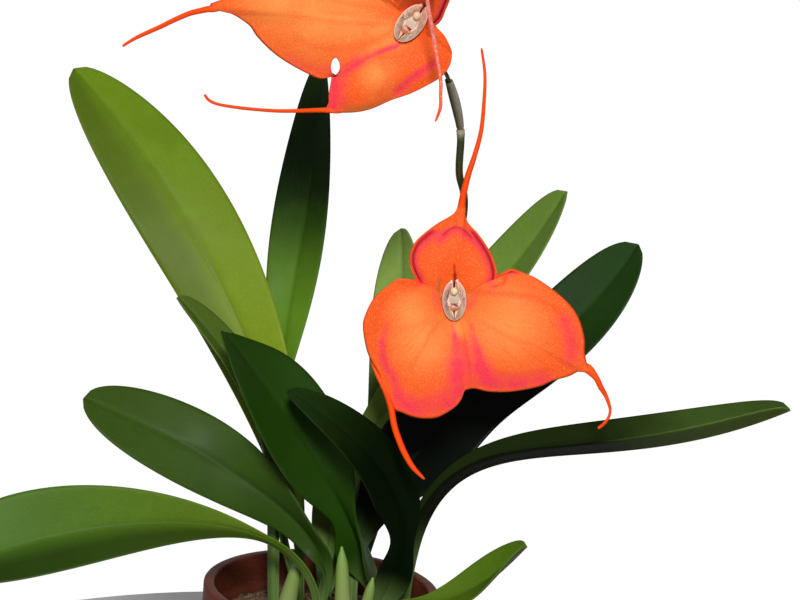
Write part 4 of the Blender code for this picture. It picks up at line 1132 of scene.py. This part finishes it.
# %% Bark
bark = Finish("bark_chips", Roughness=0.85, Specular_IOR_Level=0.2)
bark_spot = bark.place()
lumps = bark.noise(bark_spot, 220.0, 4.0, 0.65)
fibres = bark.noise(bark_spot, 1100.0, 3.0, 0.6)
shade = bark.mix(lumps.step(0.3, 0.7), (0.045, 0.022, 0.012), (0.17, 0.095, 0.050))
shade = bark.mix(bark.value("tint"), shade, (0.30, 0.19, 0.11))
shade = bark.mix(fibres.step(0.5, 0.8) * 0.5, shade, (0.42, 0.30, 0.19))
bark.wear(Base_Color=shade, Normal=bark.bump(fibres, 0.0004, 0.9))
BED_TOP, FIT_GAP, CHIPS, BUMP_HEIGHT = 57.0, 0.4, 340, 0.28
CHIP_LEVELS = ((0.80, -1.0), (0.97, -0.6), (1.0, 0.3), (0.90, 0.9))
CHIP_SIDES, TILT_X, TILT_Y = 9, 0.5, 0.4
rng = np.random.default_rng(11)
r_low = POT_BASE_R - POT_WALL - FIT_GAP
r_top = r_in - 0.8 - FIT_GAP - 0.6
bed = lathe([(r_low * 0.3, POT_FLOOR + FIT_GAP), (r_low - 0.4, POT_FLOOR + FIT_GAP),
             (r_top - 0.9, BED_TOP - 1.5)] + [(r, BED_TOP) for r in np.linspace(r_top - 2, 0.8, 44)],
            110)
bumps = sum(np.sin(bed[..., 0] * u + p) * np.cos(bed[..., 1] * v + q)
            for u, v, p, q in rng.uniform((0.3, 0.3, 0, 0), (1.3, 1.3, 6, 6), (7, 4)))
bed[3:, :, 2] += BUMP_HEIGHT * bumps[3:]
grids, tints = [bed], [0.0]
for number in range(CHIPS):
    r, a = (r_top - 4.5) * np.sqrt(rng.uniform(0.0, 1)), rng.uniform(0, 2 * np.pi)
    size = rng.uniform((2.0, 1.3, 0.4), (4.6, 2.7, 0.9))
    edge = np.linspace(0, 2 * np.pi, CHIP_SIDES, endpoint=False)
    boxy = (np.abs(np.cos(edge)) ** 5 + np.abs(np.sin(edge)) ** 5) ** 0.2
    shape = (1 + rng.uniform(-0.22, 0.22, CHIP_SIDES)) / boxy
    flat = np.stack([shape * np.cos(edge) * size[0], shape * np.sin(edge) * size[1], 0 * edge], -1)
    rings = np.array([flat * (k, k, 1) + (0, 0, h * size[2]) for k, h in CHIP_LEVELS])
    rings[..., 2] += 0.05 * rings[..., 0] ** 2 * rng.uniform(-0.6, 0.6)
    lie = Matrix.Rotation(rng.uniform(0, 6.28), 3, "Z")
    lie = lie @ Matrix.Rotation(rng.uniform(-TILT_X, TILT_X), 3, "X")
    lie = lie @ Matrix.Rotation(rng.uniform(-TILT_Y, TILT_Y), 3, "Y")
    rings = rings @ np.array(lie).T
    grids.append(rings + (r * np.cos(a), r * np.sin(a), BED_TOP + rng.uniform(0.0, 2.2)))
    tints.append(rng.uniform(0, 0.7) ** 2)
points, quads = joined(grids)
sizes = [g.shape[0] * g.shape[1] + 2 for g in grids]
piece("bark_bed", points, quads, bark.material, ["medium"],
      dict(tint=np.repeat(tints, sizes)))

# %% [markdown]
# ## Floor
# The pot stands on a small round pale board, just wide enough to carry its shadow. Behind it is
# only the bright wall.

# %% Floor
FLOOR_R, FLOOR_SPOKES = 0.19, 95
ring = lathe([(FLOOR_R, 0.0)], FLOOR_SPOKES)[0].tolist()
floor_mesh = bpy.data.meshes.new("floor")
floor_mesh.from_pydata(ring, [], [tuple(range(len(ring)))])
floor_finish = Finish("floor_pale", Roughness=0.9, Base_Color=(0.85, 0.85, 0.85, 1.0))
floor_mesh.materials.append(floor_finish.material)
floor = bpy.data.objects.new("floor", floor_mesh)
bpy.context.scene.collection.objects.link(floor)
